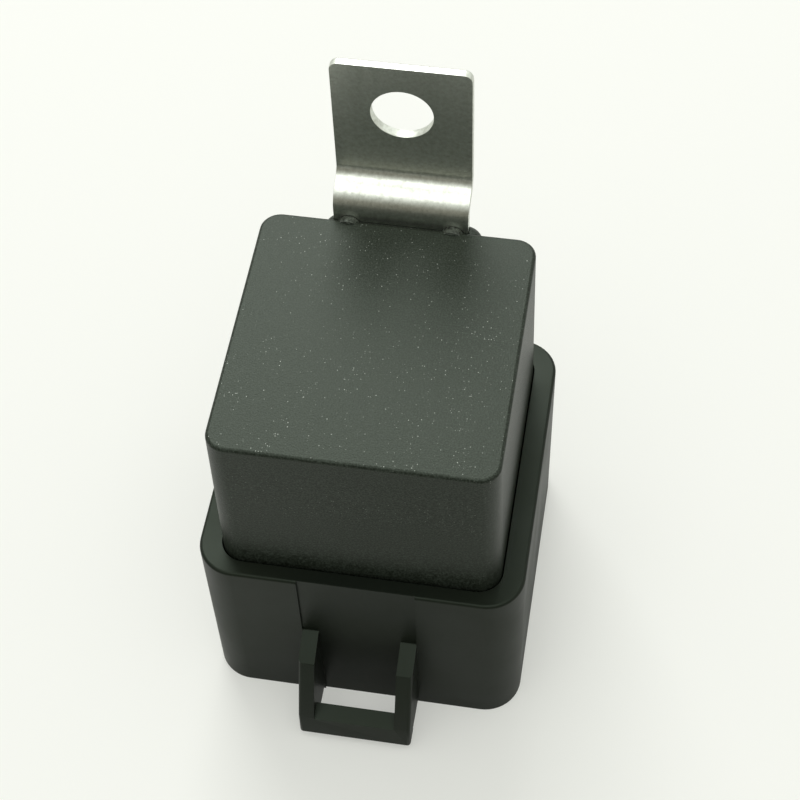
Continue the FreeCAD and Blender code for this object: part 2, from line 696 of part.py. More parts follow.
def add_tab_ear(body, side, level):
    """The tab's widening across the middle, under or over the moving contact."""
    ear = new_sketch(body, f"{body.Name}_ear", "XY_Plane", level)
    far, root = "tab_side", "(-strap_gap / 2 - strap_gap)"
    left, right = (root, far) if side == "-" else (f"-({far})", f"-({root})")
    rectangle(ear, left, right, f"{contact_place} - tab_side", f"{contact_place} + tab_end")
    pad(body, ear, "blade_thickness")
    hole = new_sketch(body, f"{body.Name}_rivet_hole", "XY_Plane", level)
    circle(hole, "0", contact_place, "contact_shank + rivet_gap")
    pocket(body, hole, "4 * blade_thickness", both_sides=True)


def build_contact_terminals():
    body = new_body("open_terminal")
    root = f"({base_top} - neck_rise)"
    add_blade(body, "XZ_Plane", "pitch_front", "0", root, neck="left")
    add_strap(body, "-", "(-pitch_front + blade_thickness / 2)", open_tab, f"({open_tab} - blade_thickness)")
    add_tab_ear(body, "-", f"{open_tab} - blade_thickness")

    body = new_body("closed_terminal")
    add_blade(body, "XZ_Plane", "0", "0", root, neck="right")
    add_strap(body, "+", "(blade_thickness / 2)", f"({closed_tab} + blade_thickness)", closed_tab)
    trim = new_sketch(body, "closed_foot_trim", "XY_Plane", strap_top)
    rectangle(trim, "strap_gap / 2 + strap_foot", "strap_gap / 2 + strap_width + blade_thickness",
              f"blade_thickness * 1.5 + strap_bend - {strap_place}", "2 * blade_thickness")
    pocket(body, trim, "2 * blade_thickness", both_sides=True)
    add_tab_ear(body, "+", closed_tab)


def build_common_terminal():
    body = new_body("common_terminal")
    foot_under = f"({yoke_under} - blade_thickness)"
    add_blade(body, "YZ_Plane", "0", "pitch_rear", foot_under)
    foot = new_sketch(body, "common_foot_plate", "XY_Plane", foot_under)
    rectangle(foot, "-common_foot / 2", "common_foot / 2", f"{yoke_back} - common_foot_depth", yoke_back)
    pad(body, foot, "blade_thickness")


def build_coil_terminals():
    for name, place in (("coil_terminal_left", "-pitch_side"), ("coil_terminal_right", "pitch_side")):
        body = new_body(name)
        add_blade(body, "YZ_Plane", place, "0", f"({base_top} + arm_height)")
        post = new_sketch(body, f"{name}_post", "YZ_Plane", place)
        outline(post, [
            (f"-{post_place}", base_top),
            ("0", base_top),
            ("0", f"{base_top} + arm_height"),
            (f"post_width - {post_place}", f"{base_top} + arm_height"),
            (f"post_width - {post_place}", f"{base_top} + post_height"),
            (f"-{post_place}", f"{base_top} + post_height"),
        ])
        pad(body, post, "blade_thickness", both_sides=True)


# Magnet: yoke, core, bobbin and winding

def build_yoke():
    body = new_body("magnet_yoke")
    inside, outside = "yoke_bend", "(yoke_bend + yoke_thickness)"
    side = new_sketch(body, "yoke_side", "YZ_Plane")
    top = f"({pivot_height} - edge_gap)"
    outline(side, [
        (yoke_front, yoke_under),
        (f"{yoke_back} - {outside}", yoke_under),
        (yoke_back, f"{yoke_under} + {outside}", "left", outside),
        (yoke_back, top),
        (yoke_inner, top),
        (yoke_inner, f"{yoke_seat} + {inside}"),
        (f"{yoke_inner} - {inside}", yoke_seat, "right", inside),
        (yoke_front, yoke_seat),
    ])
    pad(body, side, f"2 * {yoke_side}", both_sides=True)
    hole = new_sketch(body, "yoke_hole", "XY_Plane", yoke_seat)
    circle(hole, "0", coil_place, "core_radius + stake_gap")
    pocket(body, hole, "2 * yoke_thickness")
    rivets = new_sketch(body, "yoke_rivet_holes", "XZ_Plane", f"0 - {yoke_inner} + yoke_thickness")
    for across in ("-rivet_pitch / 2", "rivet_pitch / 2"):
        circle(rivets, across, f"{pivot_height} - yoke_rivet_drop", "rivet_radius + rivet_gap")
    pocket(body, rivets, "3 * yoke_thickness")


def turned(name, sections, across, along, height, flip=False):
    """A turned piece: a profile in the X-Z plane spun round the body's own Z axis, then placed."""
    body = new_body(name)
    profile = new_sketch(body, f"{name}_profile", "XZ_Plane")
    outline(profile, sections)
    spin = body.newObject("PartDesign::Revolution", f"{name}_spin")
    spin.Profile = profile
    spin.ReferenceAxis = (profile, ["V_Axis"])
    if flip:
        body.Placement.Rotation = FreeCAD.Rotation(FreeCAD.Vector(1, 0, 0), 180)
    bind(body, "Placement.Base.x", across)
    bind(body, "Placement.Base.y", along)
    bind(body, "Placement.Base.z", height)
    doc.recompute()
    return body


def build_core():
    shank = "core_radius"
    seat = f"({bobbin_top} - {yoke_under})"
    turned("pole_core", [
        ("0", "0"),
        (shank, "0"),
        (shank, seat),
        ("pole_radius", seat),
        ("pole_radius", f"{seat} + pole_thickness"),
        ("0", f"{seat} + pole_thickness"),
    ], "0", coil_place, yoke_under)


def build_bobbin():
    body = new_body("coil_bobbin")
    tube = "(core_radius + core_gap + tube_wall)"
    for name, level in (("bobbin_floor", yoke_seat), ("bobbin_head", f"({bobbin_top} - flange_thickness)")):
        flange = new_sketch(body, name, "XY_Plane", level)
        rounded(flange, bobbin_side, bobbin_half, "bobbin_corner", middle=coil_place)
        if name == "bobbin_head":
            column = new_sketch(body, "bobbin_tube", "XY_Plane", yoke_seat)
            circle(column, "0", coil_place, tube)
            pad(body, column, f"{bobbin_height} - flange_thickness / 2")
        pad(body, flange, "flange_thickness")
    bore = new_sketch(body, "bobbin_bore", "XY_Plane", bobbin_top)
    circle(bore, "0", coil_place, "core_radius + core_gap")
    pocket(body, bore, bobbin_height)


def cylinder(name, radius, height, place, axis=(0, 0, 1)):
    """A primitive cylinder from a place, given as three formulas, along an axis."""
    item = doc.addObject("Part::Cylinder", name)
    bind(item, "Radius", radius)
    bind(item, "Height", height)
    turn = FreeCAD.Rotation(FreeCAD.Vector(0, 0, 1), FreeCAD.Vector(*axis))
    item.Placement = FreeCAD.Placement(FreeCAD.Vector(0, 0, 0), turn)
    for letter, formula in zip("xyz", place):
        bind(item, f"Placement.Base.{letter}", formula)
    return item


def joined(name, pieces):
    item = doc.addObject("Part::MultiFuse", name)
    item.Label = name
    item.Shapes = pieces
    item.Refine = True
    NODES.append(item)
    return item


def build_winding():
    low = f"({yoke_seat} + flange_thickness + winding_gap)"
    height = f"({bobbin_height} - 2 * flange_thickness - 2 * winding_gap)"
    place = ("0", coil_place, low)
    outer = cylinder("winding_outside", winding_radius, height, place)
    inner = cylinder("winding_inside", "core_radius + core_gap + tube_wall + winding_gap", height, place)
    ring = doc.addObject("Part::Cut", "winding_ring")
    ring.Base = outer
    ring.Tool = inner
    level = f"({yoke_seat} + flange_thickness + lead_lift)"
    along = f"(post_width / 2 - {post_place})"
    reach = "(pitch_side - blade_thickness / 2 - winding_gap)"
    leads = []
    for name, across, heading in (("left", f"-{reach}", (1, 0, 0)), ("right", reach, (-1, 0, 0))):
        leads.append(cylinder(f"lead_{name}", "lead_radius", f"{reach} - core_radius",
                              (across, along, level), heading))
    for name, across in (("left", "-core_radius"), ("right", "core_radius")):
        leads.append(cylinder(f"lead_tail_{name}", "lead_radius", "core_radius + post_width / 2",
                              (across, along, level), (0, 1, 0)))
    joined("coil_winding", [ring, *leads])


# Moving system: armature, contact spring, contacts and rivets

def tilt(item, lever):
    """Place an item that is drawn flat, its origin a lever in front of the pivot, as it rests open."""
    item.Placement.Rotation = FreeCAD.Rotation(FreeCAD.Vector(1, 0, 0), -value("rest_angle"))
    bind(item, "Placement.Rotation.Angle", "-rest_angle")
    bind(item, "Placement.Base.y", f"{yoke_back} - {lever} * cos(rest_angle)")
    bind(item, "Placement.Base.z", f"{pivot_height} + {lever} * sin(rest_angle)")


def build_armature():
    body = new_body("armature")
    side = new_sketch(body, "armature_side", "YZ_Plane")
    rear = "(-armature_setback)"
    outline(side, [
        (f"-{armature_length}", "0"),
        (rear, "0"),
        (rear, "armature_thickness - armature_chamfer"),
        (f"{rear} - armature_chamfer", "armature_thickness"),
        (f"-{armature_length}", "armature_thickness"),
    ])
    pad(body, side, f"2 * {yoke_side}", both_sides=True)
    holes = new_sketch(body, "armature_holes", "XY_Plane", "armature_thickness")
    for across in ("-rivet_pitch / 2", "rivet_pitch / 2"):
        circle(holes, across, "-armature_rivet", "rivet_radius + rivet_gap")
    pocket(body, holes, "2 * armature_thickness")
    ahead = value(f"-{armature_length}")

    def front_corner(edge, middle):
        return near(middle.y, ahead) and near(edge.Length, value("armature_thickness"))

    round_edges(body, "armature_corners", front_corner, "armature_corner")
    tilt(body, "0")


def build_spring():
    body = new_body("contact_spring")
    sine, cosine = "sin(rest_angle)", "cos(rest_angle)"
    thick, bend = "spring_thickness", "spring_bend"
    outside = f"({bend} + {thick})"
    centre_y = f"({yoke_back} - {bend})"
    centre_z = f"({pivot_height} + (armature_thickness - {bend} + {bend} * {sine}) / {cosine})"

    def on_leaf(lever, lift):
        return (f"{yoke_back} - {lever} * {cosine} + {lift} * {sine}",
                f"{pivot_height} + {lever} * {sine} + {lift} * {cosine}")

    foot = f"({pivot_height} - yoke_rivet_drop - rivet_edge)"
    side = new_sketch(body, "spring_side", "YZ_Plane")
    outline(side, [
        (yoke_back, foot),
        (f"{yoke_back} + {thick}", foot),
        (f"{yoke_back} + {thick}", centre_z),
        (f"{centre_y} + {outside} * {sine}", f"{centre_z} + {outside} * {cosine}", "left", outside),
        on_leaf(spring_length, f"(armature_thickness + {thick})"),
        on_leaf(spring_length, "armature_thickness"),
        (f"{centre_y} + {bend} * {sine}", f"{centre_z} + {bend} * {cosine}"),
        (yoke_back, centre_z, "right", bend),
    ])
    pad(body, side, "spring_width", both_sides=True)

    above = f"({pivot_height} + 2 * armature_thickness + {spring_length} * {sine})"
    sides = new_sketch(body, "spring_shoulders", "XY_Plane", above)
    tongue, broad = "(spring_tongue / 2)", "(spring_width / 2 + spring_thickness)"
    slant = "(spring_width - spring_tongue)"
    shoulder = f"({yoke_back} - {armature_length} + {slant} / 2)"
    tip = f"({yoke_back} - {spring_length} - spring_thickness)"
    depth = f"{spring_length} * {sine} + 3 * armature_thickness"
    for sign in ("", "-"):
        corners = [
            (f"{sign}{tongue}", tip),
            (f"{sign}{broad}", tip),
            (f"{sign}{broad}", f"{shoulder} + {slant} / 2"),
            (f"{sign}{tongue}", shoulder),
        ]
        outline(sides, corners if sign == "" else corners[::-1])
    pocket(body, sides, depth)

    holes = new_sketch(body, "spring_holes", "XY_Plane", above)
    for across in ("-rivet_pitch / 2", "rivet_pitch / 2"):
        place = on_leaf("armature_rivet", "armature_thickness")[0]
        circle(holes, across, place, "rivet_radius + 2 * rivet_gap")
    circle(holes, "0", on_leaf(contact_lever, "armature_thickness")[0], "contact_shank + 2 * rivet_gap")
    pocket(body, holes, depth)

    rivets = new_sketch(body, "spring_rivet_holes", "XZ_Plane", f"0 - {yoke_back}")
    for across in ("-rivet_pitch / 2", "rivet_pitch / 2"):
        circle(rivets, across, f"{pivot_height} - yoke_rivet_drop", "rivet_radius + rivet_gap")
    pocket(body, rivets, "4 * spring_thickness", both_sides=True)


def build_contacts():
    head, shank = "contact_radius", "contact_shank"
    leaf = "(armature_thickness + spring_thickness)"
    moving = turned("moving_contact", [
        ("0", moving_low),
        (head, moving_low),
        (head, "armature_thickness"),
        (shank, "armature_thickness"),
        (shank, leaf),
        (head, leaf),
        (head, f"{moving_high} - contact_crown"),
        ("contact_land", moving_high),
        ("0", moving_high),
    ], "0", "0", "0")
    tilt(moving, contact_lever)
    fixed = [
        ("0", "-blade_thickness - contact_tail"),
        ("contact_shank + contact_tail", "-blade_thickness - contact_tail"),
        ("contact_shank + contact_tail", "-blade_thickness"),
        (shank, "-blade_thickness"),
        (shank, "0"),
        (head, "0"),
        (head, "contact_head"),
        ("0", "contact_head"),
    ]
    turned("fixed_contact_open", fixed, "0", contact_place, open_tab)
    turned("fixed_contact_closed", fixed, "0", contact_place, closed_tab, flip=True)


def build_rivets():
    pieces = []
    length = "(yoke_thickness + spring_thickness)"
    level = f"({pivot_height} - yoke_rivet_drop)"
    for name, across in (("left", "-rivet_pitch / 2"), ("right", "rivet_pitch / 2")):
        pieces.append(cylinder(f"yoke_shank_{name}", "rivet_radius", length,
                               (across, yoke_inner, level), (0, 1, 0)))
        pieces.append(cylinder(f"yoke_cap_{name}", "rivet_head", "rivet_cap",
                               (across, f"{yoke_back} + spring_thickness", level), (0, 1, 0)))
    joined("yoke_rivets", pieces)

    pieces = []
    leaf = "(armature_thickness + spring_thickness)"
    for name, across in (("left", "-rivet_pitch / 2"), ("right", "rivet_pitch / 2")):
        pieces.append(cylinder(f"leaf_shank_{name}", "rivet_radius", leaf, (across, "0", "0")))
        pieces.append(cylinder(f"leaf_cap_{name}", "rivet_head", "rivet_cap", (across, "0", leaf)))
    tilt(joined("armature_rivets", pieces), "armature_rivet")


# Damping resistor across the coil

def build_resistor():
    level = f"({base_top} + resistor_lift)"
    along = f"(-{resistor_place})"
    half = "(resistor_length / 2)"
    body = cylinder("resistor_body", "resistor_radius", "resistor_length",
                    (f"-{half}", along, level), (1, 0, 0))
    pieces = [body]
    for name, across, heading in (("left", "-pitch_side", (1, 0, 0)), ("right", "pitch_side", (-1, 0, 0))):
        pieces.append(cylinder(f"wire_{name}", "wire_radius", f"pitch_side - {half} + wire_radius",
                               (across, along, level), heading))
        pieces.append(cylinder(f"wire_end_{name}", "wire_radius", "wire_end",
                               (across, along, level), (0, 1, 0)))
    joined("damping_resistor", pieces)


def write_parts():
    """Check every object and write each sub-part to its own file."""
    doc.recompute()
    for item in doc.Objects:
        if "Invalid" in item.State or "Error" in item.State:
            raise RuntimeError(f"{item.Label} failed: {item.State}")
    os.makedirs("parts", exist_ok=True)
    for item in NODES:
        shape = item.Shape
        if shape.isNull() or not shape.isValid():
            raise RuntimeError(f"{item.Label} has no valid shape")
    for item in NODES:
        item.Shape.exportStep(os.path.join("parts", f"{item.Label}.step"))
        box = item.Shape.BoundBox
        print(f"{item.Label}: {len(item.Shape.Solids)} solid, {item.Shape.Volume:.1f} mm3, "
              f"x {box.XMin:.2f} {box.XMax:.2f}, y {box.YMin:.2f} {box.YMax:.2f}, "
              f"z {box.ZMin:.2f} {box.ZMax:.2f}")


build_cover()
build_skirt()
build_strip()
build_base()
build_resin()
build_contact_terminals()
build_common_terminal()
build_coil_terminals()
build_yoke()
build_core()
build_bobbin()
build_winding()
build_armature()
build_spring()
build_contacts()
build_rivets()
build_resistor()
write_parts()
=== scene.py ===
"""The looks of an automotive relay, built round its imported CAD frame.

Size fields are in millimetres, angles in degrees, and every mesh is written in metres. X is to the
right, Y is away from the latch and Z is up from the skirt's open mouth, as in the CAD model.
"""

import logging
import math
from collections.abc import Callable, Iterable, Sequence
from dataclasses import dataclass
from enum import Enum

import bmesh
import bpy
from mathutils import Matrix, Vector

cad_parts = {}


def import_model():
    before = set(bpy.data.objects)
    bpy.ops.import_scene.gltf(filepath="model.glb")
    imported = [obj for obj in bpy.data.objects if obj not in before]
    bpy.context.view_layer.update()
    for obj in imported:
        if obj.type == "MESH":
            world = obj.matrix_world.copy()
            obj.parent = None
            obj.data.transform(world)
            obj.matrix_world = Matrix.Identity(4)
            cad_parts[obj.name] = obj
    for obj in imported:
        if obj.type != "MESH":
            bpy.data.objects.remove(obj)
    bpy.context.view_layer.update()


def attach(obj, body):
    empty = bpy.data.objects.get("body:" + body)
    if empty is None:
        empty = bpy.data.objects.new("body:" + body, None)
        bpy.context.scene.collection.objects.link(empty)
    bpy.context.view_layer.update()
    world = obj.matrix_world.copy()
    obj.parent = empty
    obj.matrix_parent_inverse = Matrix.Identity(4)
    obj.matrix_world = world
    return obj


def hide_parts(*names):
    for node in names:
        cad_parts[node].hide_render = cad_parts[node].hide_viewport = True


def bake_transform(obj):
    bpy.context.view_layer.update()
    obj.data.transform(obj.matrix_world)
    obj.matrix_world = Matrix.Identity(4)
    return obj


LOG = logging.getLogger("relay")
Point = tuple[float, float, float]
Spot = tuple[float, float]
MM = 0.001

# How near, in metres, corners are one: in a new mesh, after a cut and in a CAD mesh
MERGE_NEW = 1e-7
MERGE_CUT = 2e-7
TOUCH = 1e-6

# Edges sharper than the first angle are rounded, and those past the second are shaded as sharp
ROUNDED_ANGLE = 35.0
SHARP_ANGLE = 50.0
FLAT_ANGLE = 1.0


class Body(Enum):
    """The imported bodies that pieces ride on."""

    HOUSING = "housing"
    ARMATURE = "armature_set"


class Plane(Enum):
    """The plane that a flat outline is drawn in: its two axes, then its normal."""

    XY = (0, 1, 2)
    XZ = (0, 2, 1)
    YZ = (1, 2, 0)


class Axis(Enum):
    """An axis to turn a mesh round."""

    X = "X"
    Y = "Y"


class Join(Enum):
    """How one solid changes another."""

    CUT = "DIFFERENCE"
    FUSE = "UNION"


# Meshes

def at(x: float, y: float, z: float) -> Vector:
    """A place in metres from millimetres."""
    return Vector((x, y, z)) * MM


def put(name: str, data: bpy.types.ID) -> bpy.types.Object:
    """Make an object and put it in the scene.

    Args:
        name: the object's name.
        data: its mesh, light or camera.

    Returns:
        The object, at the origin.
    """
    item = bpy.data.objects.new(name, data)
    bpy.context.scene.collection.objects.link(item)
    return item


def put_mesh(name: str, mesh: bmesh.types.BMesh) -> bpy.types.Object:
    """Make an object from a bmesh, which is freed.

    Args:
        name: the name of the object and its mesh.
        mesh: the finished bmesh.

    Returns:
        The object, at the origin.
    """
    data = bpy.data.meshes.new(name)
    mesh.to_mesh(data)
    mesh.free()
    return put(name, data)


class Solid:
    """A mesh in the making: a bmesh with the few moves that the relay's pieces need, in millimetres."""

    def __init__(self) -> None:
        """Start with an empty mesh."""
        self.mesh = bmesh.new()

    def outline(self, spots: Sequence[Spot], plane: Plane = Plane.XY, level: float = 0.0,
                rounds: dict[int, float] | None = None, segments: int = 8) -> bmesh.types.BMFace:
        """Draw a flat face through a few corners and round some of them.

        Args:
            spots: the corners, in order round the face.
            plane: the plane of the face.
            level: the face's place along the plane's normal.
            rounds: radius of each corner that is round, by its number.
            segments: straight steps in a round corner.

        Returns:
            The finished face.
        """
        first, second, normal = plane.value
        corners = []
        for spot in spots:
            place = [0.0, 0.0, 0.0]
            place[first], place[second], place[normal] = spot[0], spot[1], level
            corners.append(self.mesh.verts.new(at(*place)))
        face = self.mesh.faces.new(corners)
        face.normal_update()
        for number, radius in (rounds or {}).items():
            corner = corners[number]
            sides = [(edge.other_vert(corner).co - corner.co).normalized() for edge in corner.link_edges]
            half = sides[0].angle(sides[1]) / 2
            bmesh.ops.bevel(self.mesh, geom=[corner], offset=radius * MM / math.tan(half),
                            offset_type="OFFSET", segments=segments, profile=0.5,
                            affect="VERTICES", material=-1)
        self.mesh.faces.ensure_lookup_table()
        return max(self.mesh.faces, key=lambda item: item.index)

    def pad(self, half_x: float, half_y: float, radius: float, level: float, middle: Spot = (0.0, 0.0),
            segments: int = 8) -> bmesh.types.BMFace:
        """Draw a level rectangle that faces upwards.

        Args:
            half_x: half its length along X.
            half_y: half its length along Y.
            radius: radius of its corners, or 0 for sharp ones.
            level: its height.
            middle: X and Y of its middle.
            segments: straight steps in a round corner.

        Returns:
            The finished face.
        """
        left, right = middle[0] - half_x, middle[0] + half_x
        low, high = middle[1] - half_y, middle[1] + half_y
        spots = [(left, low), (right, low), (right, high), (left, high)]
        rounds = dict.fromkeys(range(4), radius) if radius else None
        return self.outline(spots, Plane.XY, level, rounds, segments)

    def rise(self, face: bmesh.types.BMFace, inset: float, lift: float) -> None:
        """Lift a face along its normal while its outline shrinks, or grows for a negative inset."""
        bmesh.ops.inset_region(self.mesh, faces=[face], thickness=abs(inset) * MM, depth=lift * MM,
                               use_even_offset=True, use_boundary=True, use_outset=inset < 0)

    def round_over(self, face: bmesh.types.BMFace, radius: float, steps: int = 4) -> None:
        """Lift a face in a quarter turn, so that its edge is round.

        Args:
            face: the face at the end of a solid.
            radius: the edge's radius.
            steps: straight steps in the quarter turn.
        """
        inset = lift = 0.0
        for step in range(1, steps + 1):
            turn = math.radians(90 * step / steps)
            next_inset, next_lift = radius * (1 - math.cos(turn)), radius * math.sin(turn)
            self.rise(face, next_inset - inset, next_lift - lift)
            inset, lift = next_inset, next_lift

    def grow(self, face: bmesh.types.BMFace) -> tuple[bmesh.types.BMFace, list[bmesh.types.BMVert]]:
        """Extrude a face in place, and take the old one out where it would be a wall inside.

        Args:
            face: the face at the end of a solid, or a lone one.

        Returns:
            The new face and its corners.
        """
        inside = all(len(edge.link_faces) > 1 for edge in face.edges)
        made = bmesh.ops.extrude_face_region(self.mesh, geom=[face])["geom"]
        if inside and face.is_valid:
            bmesh.ops.delete(self.mesh, geom=[face], context="FACES_ONLY")
        end = next(item for item in made if isinstance(item, bmesh.types.BMFace))
        return end, list(end.verts)

    def pull(self, face: bmesh.types.BMFace, way: Point) -> bmesh.types.BMFace:
        """Extrude a face along a straight way.

        Args:
            face: the face to extrude.
            way: how far it goes along X, Y and Z.

        Returns:
            The face at the far end.
        """
        end, moved = self.grow(face)
        bmesh.ops.translate(self.mesh, verts=moved, vec=at(*way))
        return end

    def swing(self, face: bmesh.types.BMFace, centre: Point, axis: Point, angle: float,
              steps: int) -> bmesh.types.BMFace:
        """Sweep a face round an axis, as a bend does.

        Args:
            face: the face to sweep.
            centre: a place on the axis.
            axis: the axis's direction.
            angle: how far it sweeps.
            steps: straight steps in the sweep.

        Returns:
            The face at the far end.
        """
        step = Matrix.Rotation(math.radians(angle / steps), 3, Vector(axis))
        for _ in range(steps):
            face, moved = self.grow(face)
            bmesh.ops.rotate(self.mesh, verts=moved, cent=at(*centre), matrix=step)
        return face

    def lead(self, radius: float, start: Point, corner: Spot, end: float, bend: float) -> "Solid":
        """Run a round wire level along X, round a bend at a corner and then along Y.

        Args:
            radius: the wire's radius.
            start: where the wire begins.
            corner: X and Y of the corner, where the two runs would cross.
            end: Y of the wire's far end.
            bend: radius of the bend at the wire's middle.

        Returns:
            The solid itself.
        """
        side = 1 if corner[0] > start[0] else -1
        turn = 1 if end > corner[1] else -1
        upright = Matrix.Translation(at(*start)) @ Matrix.Rotation(math.radians(90), 4, "Y")
        rim = bmesh.ops.create_circle(self.mesh, cap_ends=True, segments=16, radius=radius * MM,
                                      matrix=upright)["verts"]
        face = next(iter(rim[0].link_faces))
        face = self.pull(face, (corner[0] - side * bend - start[0], 0, 0))
        centre = (corner[0] - side * bend, corner[1] + turn * bend, start[2])
        face = self.swing(face, centre, (0, 0, 1), 90 * side * turn, steps=8)
        self.pull(face, (0, end - corner[1] - turn * bend, 0))
        return self

    def round_edges(self, wanted: Callable[[bmesh.types.BMEdge], bool], radius: float,
                    segments: int) -> None:
        """Round the edges that pass a test."""
        chosen = [edge for edge in self.mesh.edges if wanted(edge)]
        bmesh.ops.bevel(self.mesh, geom=chosen, offset=radius * MM, offset_type="OFFSET",
                        segments=segments, profile=0.5, affect="EDGES", material=-1)

    def lathe(self, spots: Sequence[Spot], steps: int) -> "Solid":
        """Turn a profile a full circle round the Z axis.

        Args:
            spots: radius and height of each corner of the profile.
            steps: straight steps in the circle.

        Returns:
            The solid itself.
        """
        corners = [self.mesh.verts.new(at(radius, 0, height)) for radius, height in spots]
        edges = [self.mesh.edges.new(pair) for pair in zip(corners, corners[1:])]
        bmesh.ops.spin(self.mesh, geom=[*corners, *edges], cent=Vector(), axis=Vector((0, 0, 1)),
                       dvec=Vector(), angle=math.tau, steps=steps, use_merge=True,
                       use_duplicate=False)
        return self

    def turn(self, angle: float, axis: Axis) -> "Solid":
        """Turn the whole mesh round an axis of the frame."""
        bmesh.ops.rotate(self.mesh, verts=self.mesh.verts, cent=Vector(),
                         matrix=Matrix.Rotation(math.radians(angle), 3, axis.value))
        return self

    def move(self, x: float = 0.0, y: float = 0.0, z: float = 0.0) -> "Solid":
        """Move the whole mesh."""
        bmesh.ops.translate(self.mesh, verts=self.mesh.verts, vec=at(x, y, z))
        return self

    def finish(self, name: str) -> bpy.types.Object:
        """Close the mesh, turn its faces outwards and make it an object.

        Args:
            name: the object's name.

        Returns:
            The object, at the origin.
        """
        bmesh.ops.remove_doubles(self.mesh, verts=self.mesh.verts, dist=MERGE_NEW)
        rims = [edge for edge in self.mesh.edges if edge.is_boundary]
        if rims:
            bmesh.ops.holes_fill(self.mesh, edges=rims, sides=0)
        bmesh.ops.recalc_face_normals(self.mesh, faces=self.mesh.faces)
        return put_mesh(name, self.mesh)


def box(low: Point, high: Point) -> Solid:
    """A plain block, for cutting and for ribs.

    Args:
        low: its lowest corner.
        high: its highest corner.

    Returns:
        The block.
    """
    solid = Solid()
    size = [far - near for near, far in zip(low, high)]
    middle = [(far + near) / 2 for near, far in zip(low, high)]
    bmesh.ops.create_cube(solid.mesh, size=MM, matrix=Matrix.LocRotScale(None, None, Vector(size)))
    return solid.move(*middle)


def rod(radius: float, length: float, middle: Point, segments: int) -> Solid:
    """A round bar along Y.

    Args:
        radius: its radius.
        length: its length.
        middle: the place of its middle.
        segments: its sides.

    Returns:
        The bar.
    """
    solid = Solid()
    bmesh.ops.create_cone(solid.mesh, cap_ends=True, segments=segments, radius1=radius * MM,
                          radius2=radius * MM, depth=length * MM)
    return solid.turn(90, Axis.X).move(*middle)


def settle(piece: bpy.types.Object) -> None:
    """Make a piece's modifiers part of its mesh.

    Args:
        piece: the piece, which gets a new mesh.
    """
    graph = bpy.context.evaluated_depsgraph_get()
    graph.update()
    made = bpy.data.meshes.new_from_object(piece.evaluated_get(graph))
    piece.modifiers.clear()
    old = piece.data
    piece.data = made
    bpy.data.meshes.remove(old)


def join(piece: bpy.types.Object, how: Join, tools: Iterable[Solid | bpy.types.Object]) -> None:
    """Cut solids out of a piece, or fuse them with it.

    Args:
        piece: the piece to change.
        how: whether to cut or to fuse.
        tools: the solids, which are used up.
    """
    for number, solid in enumerate(tools):
        tool = solid.finish(f"{piece.name}_tool_{number}") if isinstance(solid, Solid) else solid
        step = piece.modifiers.new("join", "BOOLEAN")
        step.operation = how.value
        step.solver = "EXACT"
        step.object = tool
        settle(piece)
        bpy.data.objects.remove(tool)


def soften(piece: bpy.types.Object, width: float, segments: int = 2) -> None:
    """Round a piece's sharp edges, as every moulded or stamped edge is, and shade it smooth.

    Args:
        piece: the piece.
        width: how wide the rounding is, or 0 for none.
        segments: straight steps in the rounding.
    """
    clean = bmesh.new()
    clean.from_mesh(piece.data)
    bmesh.ops.remove_doubles(clean, verts=clean.verts, dist=MERGE_CUT)
    bmesh.ops.dissolve_degenerate(clean, edges=clean.edges, dist=MERGE_CUT)
    clean.to_mesh(piece.data)
    clean.free()
    if width:
        rounding = piece.modifiers.new("soft_edges", "BEVEL")
        rounding.width = width * MM
        rounding.segments = segments
        rounding.limit_method = "ANGLE"
        rounding.angle_limit = math.radians(ROUNDED_ANGLE)
        rounding.profile = 0.5
        rounding.material = -1
        rounding.use_clamp_overlap = True
    settle(piece)
    piece.data.shade_smooth()
    piece.data.set_sharp_from_angle(angle=math.radians(SHARP_ANGLE))
    even = piece.modifiers.new("even_shading", "WEIGHTED_NORMAL")
    even.keep_sharp = True
    even.weight = 100
    settle(piece)


def copy_of(node: str, name: str) -> bpy.types.Object:
    """A piece with a CAD node's own shape, its loose triangles merged and its flat faces made whole.

    Args:
        node: the CAD node.
        name: the piece's name.

    Returns:
        The piece.
    """
    mesh = bmesh.new()
    mesh.from_mesh(bpy.data.objects[node].data)
    bmesh.ops.remove_doubles(mesh, verts=mesh.verts, dist=TOUCH)
    bmesh.ops.dissolve_limit(mesh, angle_limit=math.radians(FLAT_ANGLE), use_dissolve_boundaries=False,
                             verts=mesh.verts, edges=mesh.edges, delimit=set())
    return put_mesh(name, mesh)


# Nodes

# The part of its range that most of a noise's values lie in
MOST = {"From Min": 0.3, "From Max": 0.7}
# A noise with finer spots on its spots
FINE = {"Detail": 3.0, "Roughness": 0.6}


def linear(colour: str) -> tuple[float, float, float, float]:
    """A linear colour from its sRGB hex value.

    Args:
        colour: six hex digits.

    Returns:
        Red, green, blue and a full alpha.
    """
    parts = [int(colour[start:start + 2], 16) / 255 for start in (0, 2, 4)]
    red, green, blue = (part / 12.92 if part <= 0.04045 else ((part + 0.055) / 1.055) ** 2.4
                        for part in parts)
    return red, green, blue, 1.0


def per_mm(size: float) -> float:
    """The scale of a pattern on Object coordinates whose features are a size in millimetres."""
    return 1 / (size * MM)


def feed(tree: bpy.types.NodeTree, node: bpy.types.Node, inputs: dict[str | int, object]) -> None:
    """Give a node its values and its links.

    Args:
        tree: the node's tree.
        node: the node.
        inputs: for each input, by name or number, a value, a socket, or a node whose first output is
            meant.
    """
    for socket, source in inputs.items():
        if isinstance(source, bpy.types.Node):
            source = source.outputs[0]
        if isinstance(source, bpy.types.NodeSocket):
            tree.links.new(source, node.inputs[socket])
        else:
            node.inputs[socket].default_value = source


